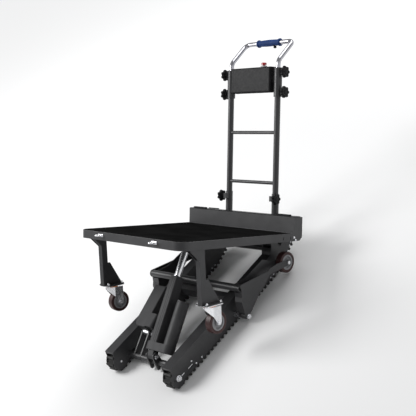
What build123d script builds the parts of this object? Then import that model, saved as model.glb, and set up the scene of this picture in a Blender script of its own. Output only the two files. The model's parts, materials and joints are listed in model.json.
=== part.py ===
from build123d import *
import math
import os

# Stair climbing hand truck, standing with its two tracks flat on the ground.
# Track frame: x across, y along the tracks to the rear, z up, with the belts' teeth on the ground at GROUND.
# Deck frame: the deck as if it lay level, with its origin on the platform hinge.
# Places in a side view are written as (y, z).

# Fits
RUNNING_GAP = 0.05
LOOSE_GAP = 0.5
OPEN_PIVOT_GAP = 9.5
JOIN = 1.0

# Track belts and drums
TRACK_X = 212.0
BELT_WIDTH = 50.0
BELT_THICKNESS = 6.0
TOOTH_HEIGHT = 13.0
TOOTH_ROOT = 15.0
TOOTH_TIP = 9.0
TOOTH_PITCH = 28.0
DRUM_RADIUS = 32.0
DRUM_GROOVE_WIDTH = 12.0
DRUM_GROOVE_DEPTH = 4.0
AXLE_Z = 47.0
FRONT_Y = -3.0
AXLE_RADIUS = 8.0
AXLE_STUB_RADIUS = 5.5
AXLE_STUB = 4.0
AXLE_WASHER_RADIUS = 15.0
SHAFT_RADIUS = 12.0
SWEEP_START = 774.0
SWEEP_ANGLE = 16.0
SWEEP_LENGTH = 200.0

# Track beams
BEAM_WIDTH = 60.0
PLATE = 3.0
BEAM_TOP = 117.0
BEAM_NOSE = 31.0
NOSE_DISC_RADIUS = 45.0
BEAM_FRONT = -19.0
BEAM_LIP = 12.0
EAR_RADIUS = 22.0
EAR_FRONT = ((799.0, 117.0), (808.0, 131.0), (824.0, 142.0))
EAR_SHOULDER = (833.0, 163.0)
EAR_WALL_STEP = (2.0, -2.5)
EAR_FOOT = (861.0, 82.0)
EAR_WEB_Z = 67.0
TENSION_SLOT = ((70.0, 38.5), (96.0, 38.5))
TENSION_SLOT_RADIUS = 4.5
RAIL_HEIGHT = 8.0
RAIL_WIDTH = 30.0
RAIL_START = 60.0
RAIL_RISE_LENGTH = 110.0
RAIL_PEGS = (160.0, 640.0)
PEG_HALF = 10.0
PEG_BOTTOM = 4.0
PEG_TOP = 8.0
SHOE_GAP = 2.0
SHOE_START = 714.0
SHOE_END = 752.0
BEAM_BOLT_RADIUS = 5.0
BEAM_BOLT_HEIGHT = 3.5
OUTER_BOLTS = (
    (100, 58), (117, 28), (160, 26), (640, 26), (737, 23), (763, 22), (939, 66), (956, 77), (985, 96))
INNER_BOLTS = ((160, 26), (640, 26), (737, 22), (763, 22), (905, 80))

# Drive units
GEARBOX_LENGTH = 46.0
GEARBOX_HALF = 36.0
MOTOR_RADIUS = 34.0
MOTOR_LENGTH = 94.0
MOTOR_CAP_RADIUS = 27.0
MOTOR_CAP_LENGTH = 10.0
SHAFT_REACH = 28.0
SHAFT_END_GAP = 2.0
SHAFT_STUB = 4.0

# Places on the tracks
BELT_RADIUS = DRUM_RADIUS + BELT_THICKNESS
GROUND = AXLE_Z - BELT_RADIUS - TOOTH_HEIGHT
FRONT = (FRONT_Y, AXLE_Z)
KINK = (SWEEP_START, AXLE_Z)
SWEEP = math.radians(SWEEP_ANGLE)
REAR = (SWEEP_START + SWEEP_LENGTH * math.cos(SWEEP), AXLE_Z + SWEEP_LENGTH * math.sin(SWEEP))
HINGE = (851.0, 150.0)
EAR_START = HINGE[0] - EAR_RADIUS
ARM_PIN = (447.0, 38.5)
WHEEL_AXLE = (815.0, 67.5)
CROSS_TUBE = (485.0, 182.0)
FRONT_TUBE = (60.0, 36.0)
REAR_TUBE = (870.0, 95.0)
MIDDLE_BAR = (501.0, 80.0)
TILT_FOOT = (57.0, 75.0)
LIFT_FOOT = (168.0, 97.0)
LIFT_HEAD = (411.0, 173.0)
BEAM_INSIDE = TRACK_X - BEAM_WIDTH / 2
BEAM_OUTSIDE = TRACK_X + BEAM_WIDTH / 2

# Cross members, lift arms and wheels
ARM_OUTER = 325.0
ARM_INNER = 279.0
ARM_PIN_RADIUS = 12.0
ARM_TIP_RADIUS = 15.0
ARM_PIN_STUB = 4.0
ARM_COLLAR = 4.0
ARM_PIN_CAP_STEP = 2.0
PIN_HEAD = 5.0
HINGE_PIN_RADIUS = 10.0
CROSS_TUBE_RADIUS = 17.5
FRONT_TUBE_RADIUS = 16.0
TUBE_WALL = 3.0
MIDDLE_BAR_DEPTH = 30.0
MIDDLE_BAR_HEIGHT = 46.0
WHEEL_TAB_RADIUS = 15.0
WHEEL_RADIUS = 53.0
WHEEL_WIDTH = 34.0
WHEEL_SHOULDER = 4.0
HUB_RADIUS = 38.0
HUB_RIM = 5.0
HUB_BOSS_RADIUS = 15.0
HUB_DISH_DEPTH = 6.0
WHEEL_BOLT_RADIUS = 6.0
WHEEL_NUT_SIZE = 10.0
WHEEL_NUT_HEIGHT = 6.0

# Actuators, as distances from their foot pivot along their line
TILT_X = 15.0
TILT_CASE_START = 27.0
TILT_CASE_LEFT = -34.0
TILT_CASE_MARGIN = 1.5
TILT_TUBE = 48.0
TILT_TUBE_BACK = -29.0
TILT_TUBE_FACE = 25.0
TILT_TUBE_START = 66.0
TILT_TUBE_END = 400.0
TILT_ROD_RADIUS = 16.5
TILT_ROD_START = 200.0
TILT_MOTOR_RADIUS = 31.0
TILT_MOTOR_X = 89.0
TILT_MOTOR_DROP = 6.0
TILT_MOTOR_END = 284.0
LIFT_X = -110.0
LIFT_TUBE = 38.0
LIFT_TUBE_START = 72.0
LIFT_CASE_LEFT = -53.0
LIFT_CASE_RIGHT = 30.0
LIFT_CASE_START = 2.0
LIFT_CASE_BOTTOM = 21.0
LIFT_CASE_TOP = 63.0
LIFT_CASE_ROUND = 35.0
LIFT_BLOCK_LEFT = 18.0
LIFT_BLOCK_RIGHT = 75.0
LIFT_BLOCK_START = 8.0
LIFT_BLOCK_END = 81.0
LIFT_BLOCK_ROUND = 16.0
LIFT_ROD_RADIUS = 12.0
LIFT_ROD_SHORT = 36.0
LIFT_BORE_SHORT = 32.0
LIFT_TUBE_SHORT = 24.0
LIFT_CASE_SHORT = 20.0
LIFT_NECK = 30.0
CASE_CORNER = 5.0
EYE_RADIUS = 16.0
EYE_WIDTH = 34.0
EYE_SHANK = 28.0
OPEN_EYE_RADIUS = 20.0
NECK_WIDTH = 28.0
CLEVIS_PLATE = 7.0
CLEVIS_GAP = 40.0
CLEVIS_RADIUS = 17.0
PIN_RADIUS = 8.0
HEAD_PIN_RADIUS = 6.0
PIN_NUT_SIZE = 12.0
PIN_NUT_HEIGHT = 7.0
PIN_STUB = 2.0

# Deck, in the deck frame
DECK_TILT = 35.6
DECK_HALF_WIDTH = 378.0
DECK_FRONT = -754.0
DECK_REAR = -7.5
DECK_TOP = 64.0
DECK_BOTTOM = 24.5
DECK_CORNER = 55.0
RIM = 4.0
RIM_SLOTS = (-84.0, -30.0)
RIM_SLOT_WIDTH = 4.0
RIM_SLOT_BOTTOM = 34.0
RIM_SLOT_TOP = 48.0
DECK_SHEET = 3.0
MAT_THICKNESS = 4.0
MAT_BELOW_RIM = 1.5
MAT_EDGE = 70.0
MAT_GROOVE_STEP = 24.0
MAT_GROOVE_WIDTH = 4.0
MAT_GROOVE_DEPTH = 1.5
MAT_GROOVES_PER_SIDE = 14
CHANNEL_WIDTH = 40.0
CHANNEL = 3.0
REAR_CHANNEL_GAP = 2.0
LUG_RADIUS = 16.0
LUG_WIDTH = 40.0
LUG_WEB = ((-15.5, -4.0), (-70.0, 24.5), (-9.0, 24.5), (11.0, 11.6))
TILT_HEAD = (-383.7, -8.0)
TILT_EAR_RADIUS = 15.0
SHEET_TOP = DECK_TOP - MAT_THICKNESS - MAT_BELOW_RIM
EYE_PLACES = (-197.0, 197.0)
EYE_BORE = 9.0
EYE_RING = 16.0
EYE_REACH = 34.0
EYE_HEIGHT = 48.25
EYE_SHEET = 6.0
EYE_BASE = (40.0, 4.0, 24.0)

# Legs and casters, in the leg frame: the deck frame moved to the legs' tops and leant with the legs
LEG_X = 358.0
LEG_Y = -623.0
LEG_LEAN = 4.8
LEG_WIDTH = 28.0
LEG_FRONT = -18.0
LEG_REAR = 14.5
LEG_WALL = 2.5
LEG_SPARE = 12.0
LEG_GUSSET = 5.0
FRONT_GUSSET = (53.0, 52.0)
REAR_GUSSET = ((14.5, -138.5), (28.5, -138.5), (95.0, -251.0))
FOOT_Z = -256.0
FOOT_THICKNESS = 5.0
SWIVEL_Y = 43.0
CASTER_PLATE_LENGTH = 104.0
CASTER_PLATE_WIDTH = 80.0
CASTER_PLATE = 4.0
PLATE_CORNER = 8.0
CASTER_BOLT_X = 28.0
CASTER_BOLT_Y = 43.0
CASTER_NUT_SIZE = 7.0
CASTER_NUT_HEIGHT = 6.0
CASTER_BOLT_RADIUS = 4.0
CASTER_TURNS = {"left": -6.5, "right": 0.0}

# Caster forks, with y counted from the swivel line
CASTER_AXLE = (35.0, -348.0)
CASTER_WHEEL_WIDTH = 34.0
KINGPIN_RADIUS = 8.0
KINGPIN_HOLE = 16.0
KINGPIN_TOP = 3.0
RACE_RADIUS = 22.0
RACE_HEIGHT = 8.0
SEAL_WIDTH = 4.0
SEAL_HEIGHT = 7.0
FORK_HALF_GAP = 19.5
FORK_SHEET = 3.0
FORK_FRONT = 6.0
FORK_REAR = 51.0
FORK_NOSE = (-40.0, -277.0)
FORK_NOSE_HALF = 7.0
CHEEK_CORNER_Z = -318.0
CHEEK_TIP = ((51.0, -345.0), (45.0, -357.0), (30.0, -359.0), (23.0, -346.0))

# Battery box, in the deck frame
BOX_REAR = 55.0
BOX_TOP = 142.0
BOX_CUT = (20.0, 16.0)
BOX_WALL = 2.0
LID_GAP = 0.4
LID_REAR = 40.0
LID_THICKNESS = 3.0
LID_HINGE = (44.0, 146.5)
LID_STRIP = 36.0
KNUCKLE_RADIUS = 3.5
KNUCKLE_X = 239.0
KNUCKLE_LENGTH = 38.0
KNUCKLE_GAP = 0.5
KNUCKLE_WEB = 4.0
LATCH_X = 300.0
LATCH_HALF_LENGTH = 45.0
LATCH_DEPTH = 16.0
LATCH_HEIGHT = 11.0
PACK_X = 170.0
PACK_HALF_LENGTH = 150.0
PACK_MARGIN = 6.0
PACK_BOTTOM = 20.0
PACK_BELOW_TOP = 12.0

# Mast and handle, in the deck frame
MAST_X = 166.0
MAST_Y = 88.5
MAST_BOTTOM = 94.0
MAST_TOP = 890.0
MAST_RADIUS = 15.5
MAST_HEAD_RADIUS = 21.0
MAST_HEAD_BOTTOM = 742.0
CROSS_BAR_HEIGHTS = (300.0, 560.0)
CROSS_BAR_RADIUS = 9.0
SOCKET_RADIUS = 18.5
SOCKET_FLOOR = 6.0
SOCKET_TOP = 245.0
SOCKET_FOOT_TOP = 138.0
SOCKET_FOOT_HALF = 15.0
CLAMP_Y = 60.0
CLAMP_HALF_LENGTH = 10.0
CLAMP_HALF_HEIGHT = 14.0
CLAMP_EAR = 8.0
KNOB_HEIGHTS = {"base": 220.0, "middle": 765.0, "top": 867.0}
KNOB_RADIUS = 31.0
KNOB_LOBES = 7
KNOB_LOBE_RADIUS = 9.0
KNOB_HEAD = 20.0
KNOB_NECK = 8.0
KNOB_NECK_RADIUS = 12.0
KNOB_CORE_RADIUS = 23.0
BASE_KNOB_GAP = 1.0
HEAD_KNOB_GAP = 7.0
STUD_RADIUS = 4.0
STUD_REACH = 10.0
HANDLE_RADIUS = 12.5
HANDLE_BORE = 10.5
HANDLE_BOTTOM = 420.0
HANDLE_BEND_Z = 926.0
HANDLE_BAR = (202.0, 1036.0)
HANDLE_BENDS = (45.0, 30.0, 30.0, 45.0)
GRIP_HALF_LENGTH = 80.0
GRIP_RADIUS = 18.0
GRIP_FLANGE = 20.5
GRIP_FLANGE_WIDTH = 6.0
BUTTON_X = 39.0
BUTTON_RADIUS = 8.0
BUTTON_LENGTH = 13.0
BUTTON_GAP = 4.0
BUTTON_ROUND = 2.0
CONTROL_TOP = 896.0
CONTROL_HEIGHT = 130.0
CONTROL_FRONT = 34.0
CONTROL_REAR = 30.0
CONTROL_SIDE_GAP = 6.0
CONTROL_WALL = 4.0
CONTROL_ROOF = 24.0
CONTROL_CORNER = 8.0
BRACKET_HALF = 14.0
BRACKET_BOTTOM = 20.0
BRACKET_TOP = 50.0
STOP_X = 67.0
STOP_TRAVEL = 4.0
STOP_STEM_RADIUS = 8.0
STOP_WELL = 20.0
STOP_STEM_DEPTH = 12.0
STOP_CAP_RADIUS = 14.0
STOP_CAP_HEIGHT = 12.0
STOP_RING_RADIUS = 17.0
STOP_RING_HEIGHT = 8.0
STOP_GAP = 1.0
STOP_CAP_ROUND = 5.0

# Half of the span from the tracks' front to the handle, so that the origin lies in the middle
MIDDLE_Y = 792.8

SIDES = {"left": -1, "right": 1}
DECK = Pos(0, HINGE[0], HINGE[1]) * Rot(-DECK_TILT, 0, 0)
LEG = Pos(0, LEG_Y, DECK_BOTTOM) * Rot(LEG_LEAN, 0, 0)
WHOLE = Pos(0, -MIDDLE_Y, -GROUND)
BASE = (Align.CENTER, Align.CENTER, Align.MIN)

nodes = {}


def in_track(name, *pieces):
    """Keep pieces that are drawn in the track frame."""
    nodes[name] = [WHOLE * piece for piece in pieces]


def in_deck(name, *pieces):
    """Keep pieces that are drawn in the deck frame."""
    nodes[name] = [WHOLE * DECK * piece for piece in pieces]


def mirrored(piece, side):
    """The piece as drawn for the right side, or its mirror image for the left."""
    return piece if side > 0 else mirror(piece, about=Plane.YZ)


def both_sides(pieces):
    """The right side's pieces and their mirror images."""
    return [mirrored(piece, side) for side in SIDES.values() for piece in pieces]


def polygon(*points):
    """A flat face from its corners."""
    return make_face(Polyline(*points, close=True))


def disc(centre, radius):
    """A round face at a place of the side view."""
    return Pos(*centre) * Circle(radius)


def slot_between(a, b, radius):
    """A face with round ends that runs from one place of the side view to another."""
    turn = math.degrees(math.atan2(b[1] - a[1], b[0] - a[0]))
    middle = ((a[0] + b[0]) / 2, (a[1] + b[1]) / 2)
    return Pos(*middle) * Rot(0, 0, turn) * SlotCenterToCenter(math.dist(a, b), 2 * radius)


def across(face, x0, x1):
    """A side view face made solid from x0 to x1."""
    return extrude(Plane.YZ.offset(x0) * face, amount=x1 - x0)


def block(x0, x1, y0, y1, z0, z1):
    """A box between two corners."""
    return Pos((x0 + x1) / 2, (y0 + y1) / 2, (z0 + z1) / 2) * Box(x1 - x0, y1 - y0, z1 - z0)


def rod_x(place, radius, x0, x1):
    """A round bar along x at a place of the side view."""
    return across(disc(place, radius), x0, x1)


def rod_y(radius, y0, y1):
    """A round bar along y, on an actuator's line."""
    return Pos(0, y0, 0) * Rot(-90, 0, 0) * Cylinder(radius, y1 - y0, align=BASE)


def rod_z(x, y, radius, z0, z1):
    """A round upright bar."""
    return Pos(x, y, z0) * Cylinder(radius, z1 - z0, align=BASE)


def hex_nut(place, size, x0, x1):
    """A hexagon nut whose axis lies along x."""
    return across(Pos(*place) * RegularPolygon(size, 6), x0, x1)


# Track belts, drums and beams

def track_loop(radius):
    """The closed outline round both drums, straight below and swept up at the rear."""
    return slot_between(FRONT, KINK, radius) + slot_between(KINK, REAR, radius)


def arc_station(centre, start, distance):
    """A place on a drum's curve: y, z and outward direction in degrees."""
    out = start + math.degrees(distance / BELT_RADIUS)
    turn = math.radians(out)
    return centre[0] + BELT_RADIUS * math.cos(turn), centre[1] + BELT_RADIUS * math.sin(turn), out


def line_station(centre, out, distance):
    """A place on a straight run that starts beside a drum's centre."""
    turn = math.radians(out)
    y = centre[0] + BELT_RADIUS * math.cos(turn) - distance * math.sin(turn)
    z = centre[1] + BELT_RADIUS * math.sin(turn) + distance * math.cos(turn)
    return y, z, out


def belt_stations():
    """Evenly spaced places round the belt's outer face."""
    tuck = BELT_RADIUS * math.tan(SWEEP / 2)
    runs = [
        (SWEEP_START - FRONT_Y, line_station, FRONT, -90.0),
        (BELT_RADIUS * SWEEP, arc_station, KINK, -90.0),
        (SWEEP_LENGTH, line_station, KINK, SWEEP_ANGLE - 90.0),
        (math.pi * BELT_RADIUS, arc_station, REAR, SWEEP_ANGLE - 90.0),
        (SWEEP_LENGTH - tuck, line_station, REAR, SWEEP_ANGLE + 90.0),
        (SWEEP_START - tuck - FRONT_Y, line_station, (SWEEP_START - tuck, AXLE_Z), 90.0),
        (math.pi * BELT_RADIUS, arc_station, FRONT, 90.0),
    ]
    total = sum(run[0] for run in runs)
    count = round(total / TOOTH_PITCH)
    stations = []
    for index in range(count):
        distance = total * (index + 0.5) / count
        for length, station, centre, start in runs:
            if distance <= length:
                stations.append(station(centre, start, distance))
                break
            distance -= length
    return stations


def belt():
    """A toothed rubber belt for the right track."""
    root = 2.0
    lug = polygon(
        (-root, -TOOTH_ROOT / 2), (TOOTH_HEIGHT, -TOOTH_TIP / 2),
        (TOOTH_HEIGHT, TOOTH_TIP / 2), (-root, TOOTH_ROOT / 2))
    lugs = [Pos(y, z) * Rot(0, 0, out) * lug for y, z, out in belt_stations()]
    face = track_loop(BELT_RADIUS) - track_loop(DRUM_RADIUS) + lugs
    return across(face, TRACK_X - BELT_WIDTH / 2, TRACK_X + BELT_WIDTH / 2)


def drum(place, bore):
    """A belt drum with a groove at its middle."""
    end_gap = 1.0
    half = BELT_WIDTH / 2 - end_gap
    groove = DRUM_GROOVE_WIDTH / 2
    radius = DRUM_RADIUS - LOOSE_GAP
    body = rod_x(place, radius, TRACK_X - half, TRACK_X + half)
    ring = disc(place, radius) - disc(place, radius - DRUM_GROOVE_DEPTH)
    body -= across(ring, TRACK_X - groove, TRACK_X + groove)
    return body - rod_x(place, bore, TRACK_X - half, TRACK_X + half)


def beam_face():
    """The side plate's outline, with a round nose and the ear that carries the platform hinge."""
    face = track_loop(BEAM_NOSE) + disc(FRONT, NOSE_DISC_RADIUS)
    face += polygon((-BEAM_NOSE, AXLE_Z), (BEAM_FRONT, BEAM_TOP), (EAR_START, BEAM_TOP), (EAR_START, AXLE_Z))
    face += slot_between(HINGE, EAR_FOOT, EAR_RADIUS)
    face += polygon(
        (EAR_START, AXLE_Z), (EAR_START, BEAM_TOP), (HINGE[0], BEAM_TOP), (HINGE[0], EAR_WEB_Z))
    return face + polygon(*EAR_FRONT, EAR_SHOULDER, HINGE, (HINGE[0], BEAM_TOP))


def beam():
    """The right track's beam: two side plates, a top plate with a front lip and the ear's front wall."""
    face = beam_face() - disc(REAR, SHAFT_RADIUS + LOOSE_GAP) - disc(ARM_PIN, ARM_PIN_RADIUS)
    face -= slot_between(*TENSION_SLOT, TENSION_SLOT_RADIUS)
    outer_face = face - disc(FRONT, AXLE_RADIUS)
    inner_face = face - disc(FRONT, AXLE_STUB_RADIUS) - disc(HINGE, HINGE_PIN_RADIUS)
    body = across(outer_face, BEAM_OUTSIDE - PLATE, BEAM_OUTSIDE)
    body += across(inner_face, BEAM_INSIDE, BEAM_INSIDE + PLATE)
    top_end = EAR_FRONT[0][0] + EAR_WALL_STEP[0]
    body += block(BEAM_INSIDE, BEAM_OUTSIDE, BEAM_FRONT, top_end, BEAM_TOP - PLATE, BEAM_TOP)
    body += block(BEAM_INSIDE, BEAM_OUTSIDE, BEAM_FRONT, BEAM_FRONT + PLATE, BEAM_TOP - BEAM_LIP, BEAM_TOP)
    wall_back = [(y + EAR_WALL_STEP[0], z + EAR_WALL_STEP[1]) for y, z in reversed(EAR_FRONT)]
    return body + across(polygon(*EAR_FRONT, *wall_back), BEAM_INSIDE, BEAM_OUTSIDE)


def belt_rail():
    """The slide rail on the lower run, bent up at the rear, with its two cross pegs."""
    bottom = AXLE_Z - DRUM_RADIUS + LOOSE_GAP
    top = bottom + RAIL_HEIGHT
    rise = RAIL_RISE_LENGTH * math.tan(SWEEP)
    end = SWEEP_START + RAIL_RISE_LENGTH
    face = polygon(
        (RAIL_START, bottom), (SWEEP_START, bottom), (end, bottom + rise),
        (end, top + rise), (SWEEP_START, top), (RAIL_START, top))
    rail = across(face, TRACK_X - RAIL_WIDTH / 2, TRACK_X + RAIL_WIDTH / 2)
    for y in RAIL_PEGS:
        rail += block(
            BEAM_INSIDE + PLATE, BEAM_OUTSIDE - PLATE, y - PEG_HALF, y + PEG_HALF,
            bottom + PEG_BOTTOM, top + PEG_TOP)
    return rail


def hold_down_shoe():
    """The shoe that keeps the belt's upper run down where it turns up."""
    bottom = AXLE_Z + BELT_RADIUS + TOOTH_HEIGHT + SHOE_GAP
    return block(
        BEAM_INSIDE + PLATE, BEAM_OUTSIDE - PLATE, SHOE_START, SHOE_END, bottom, BEAM_TOP - PLATE)


def drive_unit():
    """A gearbox and motor on the inner side of the right beam, on the rear shaft's line."""
    gearbox_end = BEAM_INSIDE - GEARBOX_LENGTH
    motor_end = gearbox_end - MOTOR_LENGTH
    gearbox = block(
        gearbox_end, BEAM_INSIDE, REAR[0] - GEARBOX_HALF, REAR[0] + GEARBOX_HALF,
        REAR[1] - GEARBOX_HALF, REAR[1] + GEARBOX_HALF)
    gearbox = fillet(gearbox.edges().filter_by(Axis.X), PLATE_CORNER)
    motor = rod_x(REAR, MOTOR_RADIUS, motor_end, gearbox_end)
    cap = rod_x(REAR, MOTOR_CAP_RADIUS, motor_end - MOTOR_CAP_LENGTH, motor_end)
    bore_end = BEAM_INSIDE - SHAFT_REACH - SHAFT_END_GAP
    shaft_bore = rod_x(REAR, SHAFT_RADIUS + RUNNING_GAP, bore_end, BEAM_INSIDE)
    return gearbox + motor + cap - shaft_bore


def rear_sprocket():
    """The driven drum with its shaft, which reaches into the gearbox."""
    shaft = rod_x(REAR, SHAFT_RADIUS, BEAM_INSIDE - SHAFT_REACH, BEAM_OUTSIDE + SHAFT_STUB)
    return drum(REAR, SHAFT_RADIUS - JOIN) + shaft


def front_axle():
    """The front drum's axle, with a washer and a nut outside and a thin stub inside."""
    washer = 2.5
    nut = 8.5
    end = 13.0
    axle = rod_x(FRONT, AXLE_RADIUS, BEAM_INSIDE + PLATE, BEAM_OUTSIDE + end)
    axle += rod_x(FRONT, AXLE_STUB_RADIUS, BEAM_INSIDE - AXLE_STUB, BEAM_INSIDE + PLATE)
    axle += rod_x(FRONT, AXLE_WASHER_RADIUS, BEAM_OUTSIDE, BEAM_OUTSIDE + washer)
    return axle + hex_nut(FRONT, PIN_NUT_SIZE, BEAM_OUTSIDE + washer, BEAM_OUTSIDE + washer + nut)


def beam_bolts():
    """Button head bolts along the right beam's outer and inner plates."""
    bolts = [rod_x(p, BEAM_BOLT_RADIUS, BEAM_OUTSIDE, BEAM_OUTSIDE + BEAM_BOLT_HEIGHT) for p in OUTER_BOLTS]
    bolts += [rod_x(p, BEAM_BOLT_RADIUS, BEAM_INSIDE - BEAM_BOLT_HEIGHT, BEAM_INSIDE) for p in INNER_BOLTS]
    return bolts


def pivot_pins():
    """The right side's arm pivot with its collar, and the platform hinge pin between the ear's plates."""
    collar_gap = 1.0
    end = ARM_OUTER + ARM_PIN_STUB
    arm = rod_x(ARM_PIN, ARM_PIN_RADIUS, BEAM_INSIDE - ARM_PIN_STUB, end)
    arm += rod_x(ARM_PIN, ARM_PIN_RADIUS + ARM_COLLAR, BEAM_OUTSIDE, ARM_INNER - collar_gap)
    arm += rod_x(ARM_PIN, ARM_PIN_RADIUS - ARM_PIN_CAP_STEP, end, end + PIN_HEAD)
    return [arm, rod_x(HINGE, HINGE_PIN_RADIUS, BEAM_INSIDE - PIN_HEAD, BEAM_OUTSIDE - PLATE)]


# Cross members

def clevis(foot, pivot, x, base_radius, pin_radius):
    """Two plates that rise from a tube to a pivot, either side of x."""
    plate = slot_between(foot, pivot, CLEVIS_RADIUS) - disc(foot, base_radius) - disc(pivot, pin_radius)
    inner = CLEVIS_GAP / 2
    right = across(plate, x + inner, x + inner + CLEVIS_PLATE)
    left = across(plate, x - inner - CLEVIS_PLATE, x - inner)
    return right + left


def cross_tube(place, radius, half_length):
    """A round tube across the frame."""
    tube = disc(place, radius) - disc(place, radius - TUBE_WALL)
    return across(tube, -half_length, half_length)


def clevis_bolt(pivot, x):
    """A bolt through a clevis, with its head and nut."""
    reach = CLEVIS_GAP / 2 + CLEVIS_PLATE
    bolt = rod_x(pivot, PIN_RADIUS, x - reach - PIN_NUT_HEIGHT - PIN_STUB, x + reach + PIN_NUT_HEIGHT)
    bolt += hex_nut(pivot, PIN_NUT_SIZE, x + reach, x + reach + PIN_NUT_HEIGHT)
    return bolt + hex_nut(pivot, PIN_NUT_SIZE, x - reach - PIN_NUT_HEIGHT, x - reach)


def front_cross_frame():
    """The tube between the beams' front ends with the feet of both actuators."""
    frame = cross_tube(FRONT_TUBE, FRONT_TUBE_RADIUS, BEAM_INSIDE)
    frame += clevis(FRONT_TUBE, TILT_FOOT, TILT_X, FRONT_TUBE_RADIUS, PIN_RADIUS)
    return frame + clevis(FRONT_TUBE, LIFT_FOOT, LIFT_X, FRONT_TUBE_RADIUS, PIN_RADIUS)


def middle_bar():
    """The rectangular tube between the beams below the lift arms' cross tube."""
    walls = 2 * TUBE_WALL
    outside = Rectangle(MIDDLE_BAR_DEPTH, MIDDLE_BAR_HEIGHT)
    inside = Rectangle(MIDDLE_BAR_DEPTH - walls, MIDDLE_BAR_HEIGHT - walls)
    return across(Pos(*MIDDLE_BAR) * (outside - inside), -BEAM_INSIDE, BEAM_INSIDE)


# Lift arms and wheels

def arm_plate(upper):
    """A side plate of the lift arm, tall at the front and narrow at the wheel, below an upper edge."""
    face = polygon(
        (430, 40), (449, 125), (463, 142), *upper, (815, 82), (811, 54),
        (738, 83), (677, 105), (602, 83), (564, 78), (463, 40))
    face += disc(ARM_PIN, ARM_TIP_RADIUS) + disc(WHEEL_AXLE, WHEEL_TAB_RADIUS)
    return face - disc(WHEEL_AXLE, WHEEL_BOLT_RADIUS)


def lift_arm():
    """The right lift arm: two plates, a front flange, a lower flange and a bush on the pivot."""
    outer_face = arm_plate([(479, 178), (482, 198), (490, 200), (676, 129), (687, 133), (748, 116)])
    tube_front = (474.7, 167.8)
    tube_top = (493.7, 197.2)
    inner_face = arm_plate(
        [tube_front, CROSS_TUBE, tube_top, (506, 194), (560, 174), (706, 171), (757, 121)])
    inner_face -= disc(CROSS_TUBE, CROSS_TUBE_RADIUS)
    front_face = polygon(
        (435, 62), (449, 125), (463, 142), (472, 163), (475, 162), (466, 141), (452, 124), (438, 62))
    lower_face = polygon(
        (505, 56), (564, 78), (602, 83), (650, 97), (649, 100), (601, 86), (563, 81), (504, 59))
    arm = across(outer_face, ARM_OUTER - PLATE, ARM_OUTER) + across(inner_face, ARM_INNER, ARM_INNER + PLATE)
    for face in (front_face, lower_face, disc(ARM_PIN, ARM_TIP_RADIUS)):
        arm += across(face, ARM_INNER, ARM_OUTER)
    return arm - rod_x(ARM_PIN, ARM_PIN_RADIUS + RUNNING_GAP, ARM_INNER, ARM_OUTER)


def lift_cross_tube():
    """The tube from arm to arm, with the lever and the pin that the lift actuator pushes."""
    tube = cross_tube(CROSS_TUBE, CROSS_TUBE_RADIUS, ARM_OUTER - PLATE)
    lever = clevis(CROSS_TUBE, LIFT_HEAD, LIFT_X, CROSS_TUBE_RADIUS, HEAD_PIN_RADIUS)
    reach = CLEVIS_GAP / 2 + CLEVIS_PLATE
    return tube + lever + rod_x(LIFT_HEAD, HEAD_PIN_RADIUS, LIFT_X - reach, LIFT_X + reach)


def wheel_bolt(place, x0, x1):
    """A wheel's bolt along x with a nut outside each fork cheek."""
    bolt = rod_x(place, WHEEL_BOLT_RADIUS, x0 - WHEEL_NUT_HEIGHT, x1 + WHEEL_NUT_HEIGHT)
    bolt += hex_nut(place, WHEEL_NUT_SIZE, x1, x1 + WHEEL_NUT_HEIGHT)
    return bolt + hex_nut(place, WHEEL_NUT_SIZE, x0 - WHEEL_NUT_HEIGHT, x0)


def wheel_parts(place, x, width):
    """A tyre with round shoulders and a dished hub, both centred at x."""
    left = x - width / 2
    right = x + width / 2
    tyre = across(disc(place, WHEEL_RADIUS) - disc(place, HUB_RADIUS), left, right)
    tread_edges = tyre.edges().filter_by(GeomType.CIRCLE).group_by(SortBy.RADIUS)[-1]
    tyre = fillet(tread_edges, WHEEL_SHOULDER)
    hub = across(disc(place, HUB_RADIUS) - disc(place, WHEEL_BOLT_RADIUS + RUNNING_GAP), left, right)
    dish = disc(place, HUB_RADIUS - HUB_RIM) - disc(place, HUB_BOSS_RADIUS)
    hub -= across(dish, left, left + HUB_DISH_DEPTH)
    hub -= across(dish, right - HUB_DISH_DEPTH, right)
    return tyre, hub


# Actuators, drawn along y from their foot pivot and then turned to the pivot's line

def actuator_place(foot, head, x):
    """The place of an actuator that is drawn along y from its foot."""
    turn = math.degrees(math.atan2(head[1] - foot[1], head[0] - foot[0]))
    return Pos(x, foot[0], foot[1]) * Rot(turn, 0, 0)


def deck_to_track(point):
    """A place of the deck frame's side view in the track frame."""
    turn = math.radians(DECK_TILT)
    y = HINGE[0] + point[0] * math.cos(turn) + point[1] * math.sin(turn)
    z = HINGE[1] - point[0] * math.sin(turn) + point[1] * math.cos(turn)
    return y, z


TILT_LENGTH = math.dist(TILT_FOOT, deck_to_track(TILT_HEAD))
LIFT_LENGTH = math.dist(LIFT_FOOT, LIFT_HEAD)
TILT_PLACE = actuator_place(TILT_FOOT, deck_to_track(TILT_HEAD), TILT_X)
LIFT_PLACE = actuator_place(LIFT_FOOT, LIFT_HEAD, LIFT_X)


def foot_eye():
    """The eye on an actuator's foot pivot, with a shank towards its body."""
    shank = polygon((0, -EYE_RADIUS), (EYE_SHANK, -EYE_RADIUS), (EYE_SHANK, EYE_RADIUS), (0, EYE_RADIUS))
    face = disc((0, 0), EYE_RADIUS) + shank - disc((0, 0), PIN_RADIUS + RUNNING_GAP)
    return across(face, -EYE_WIDTH / 2, EYE_WIDTH / 2)


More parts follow.
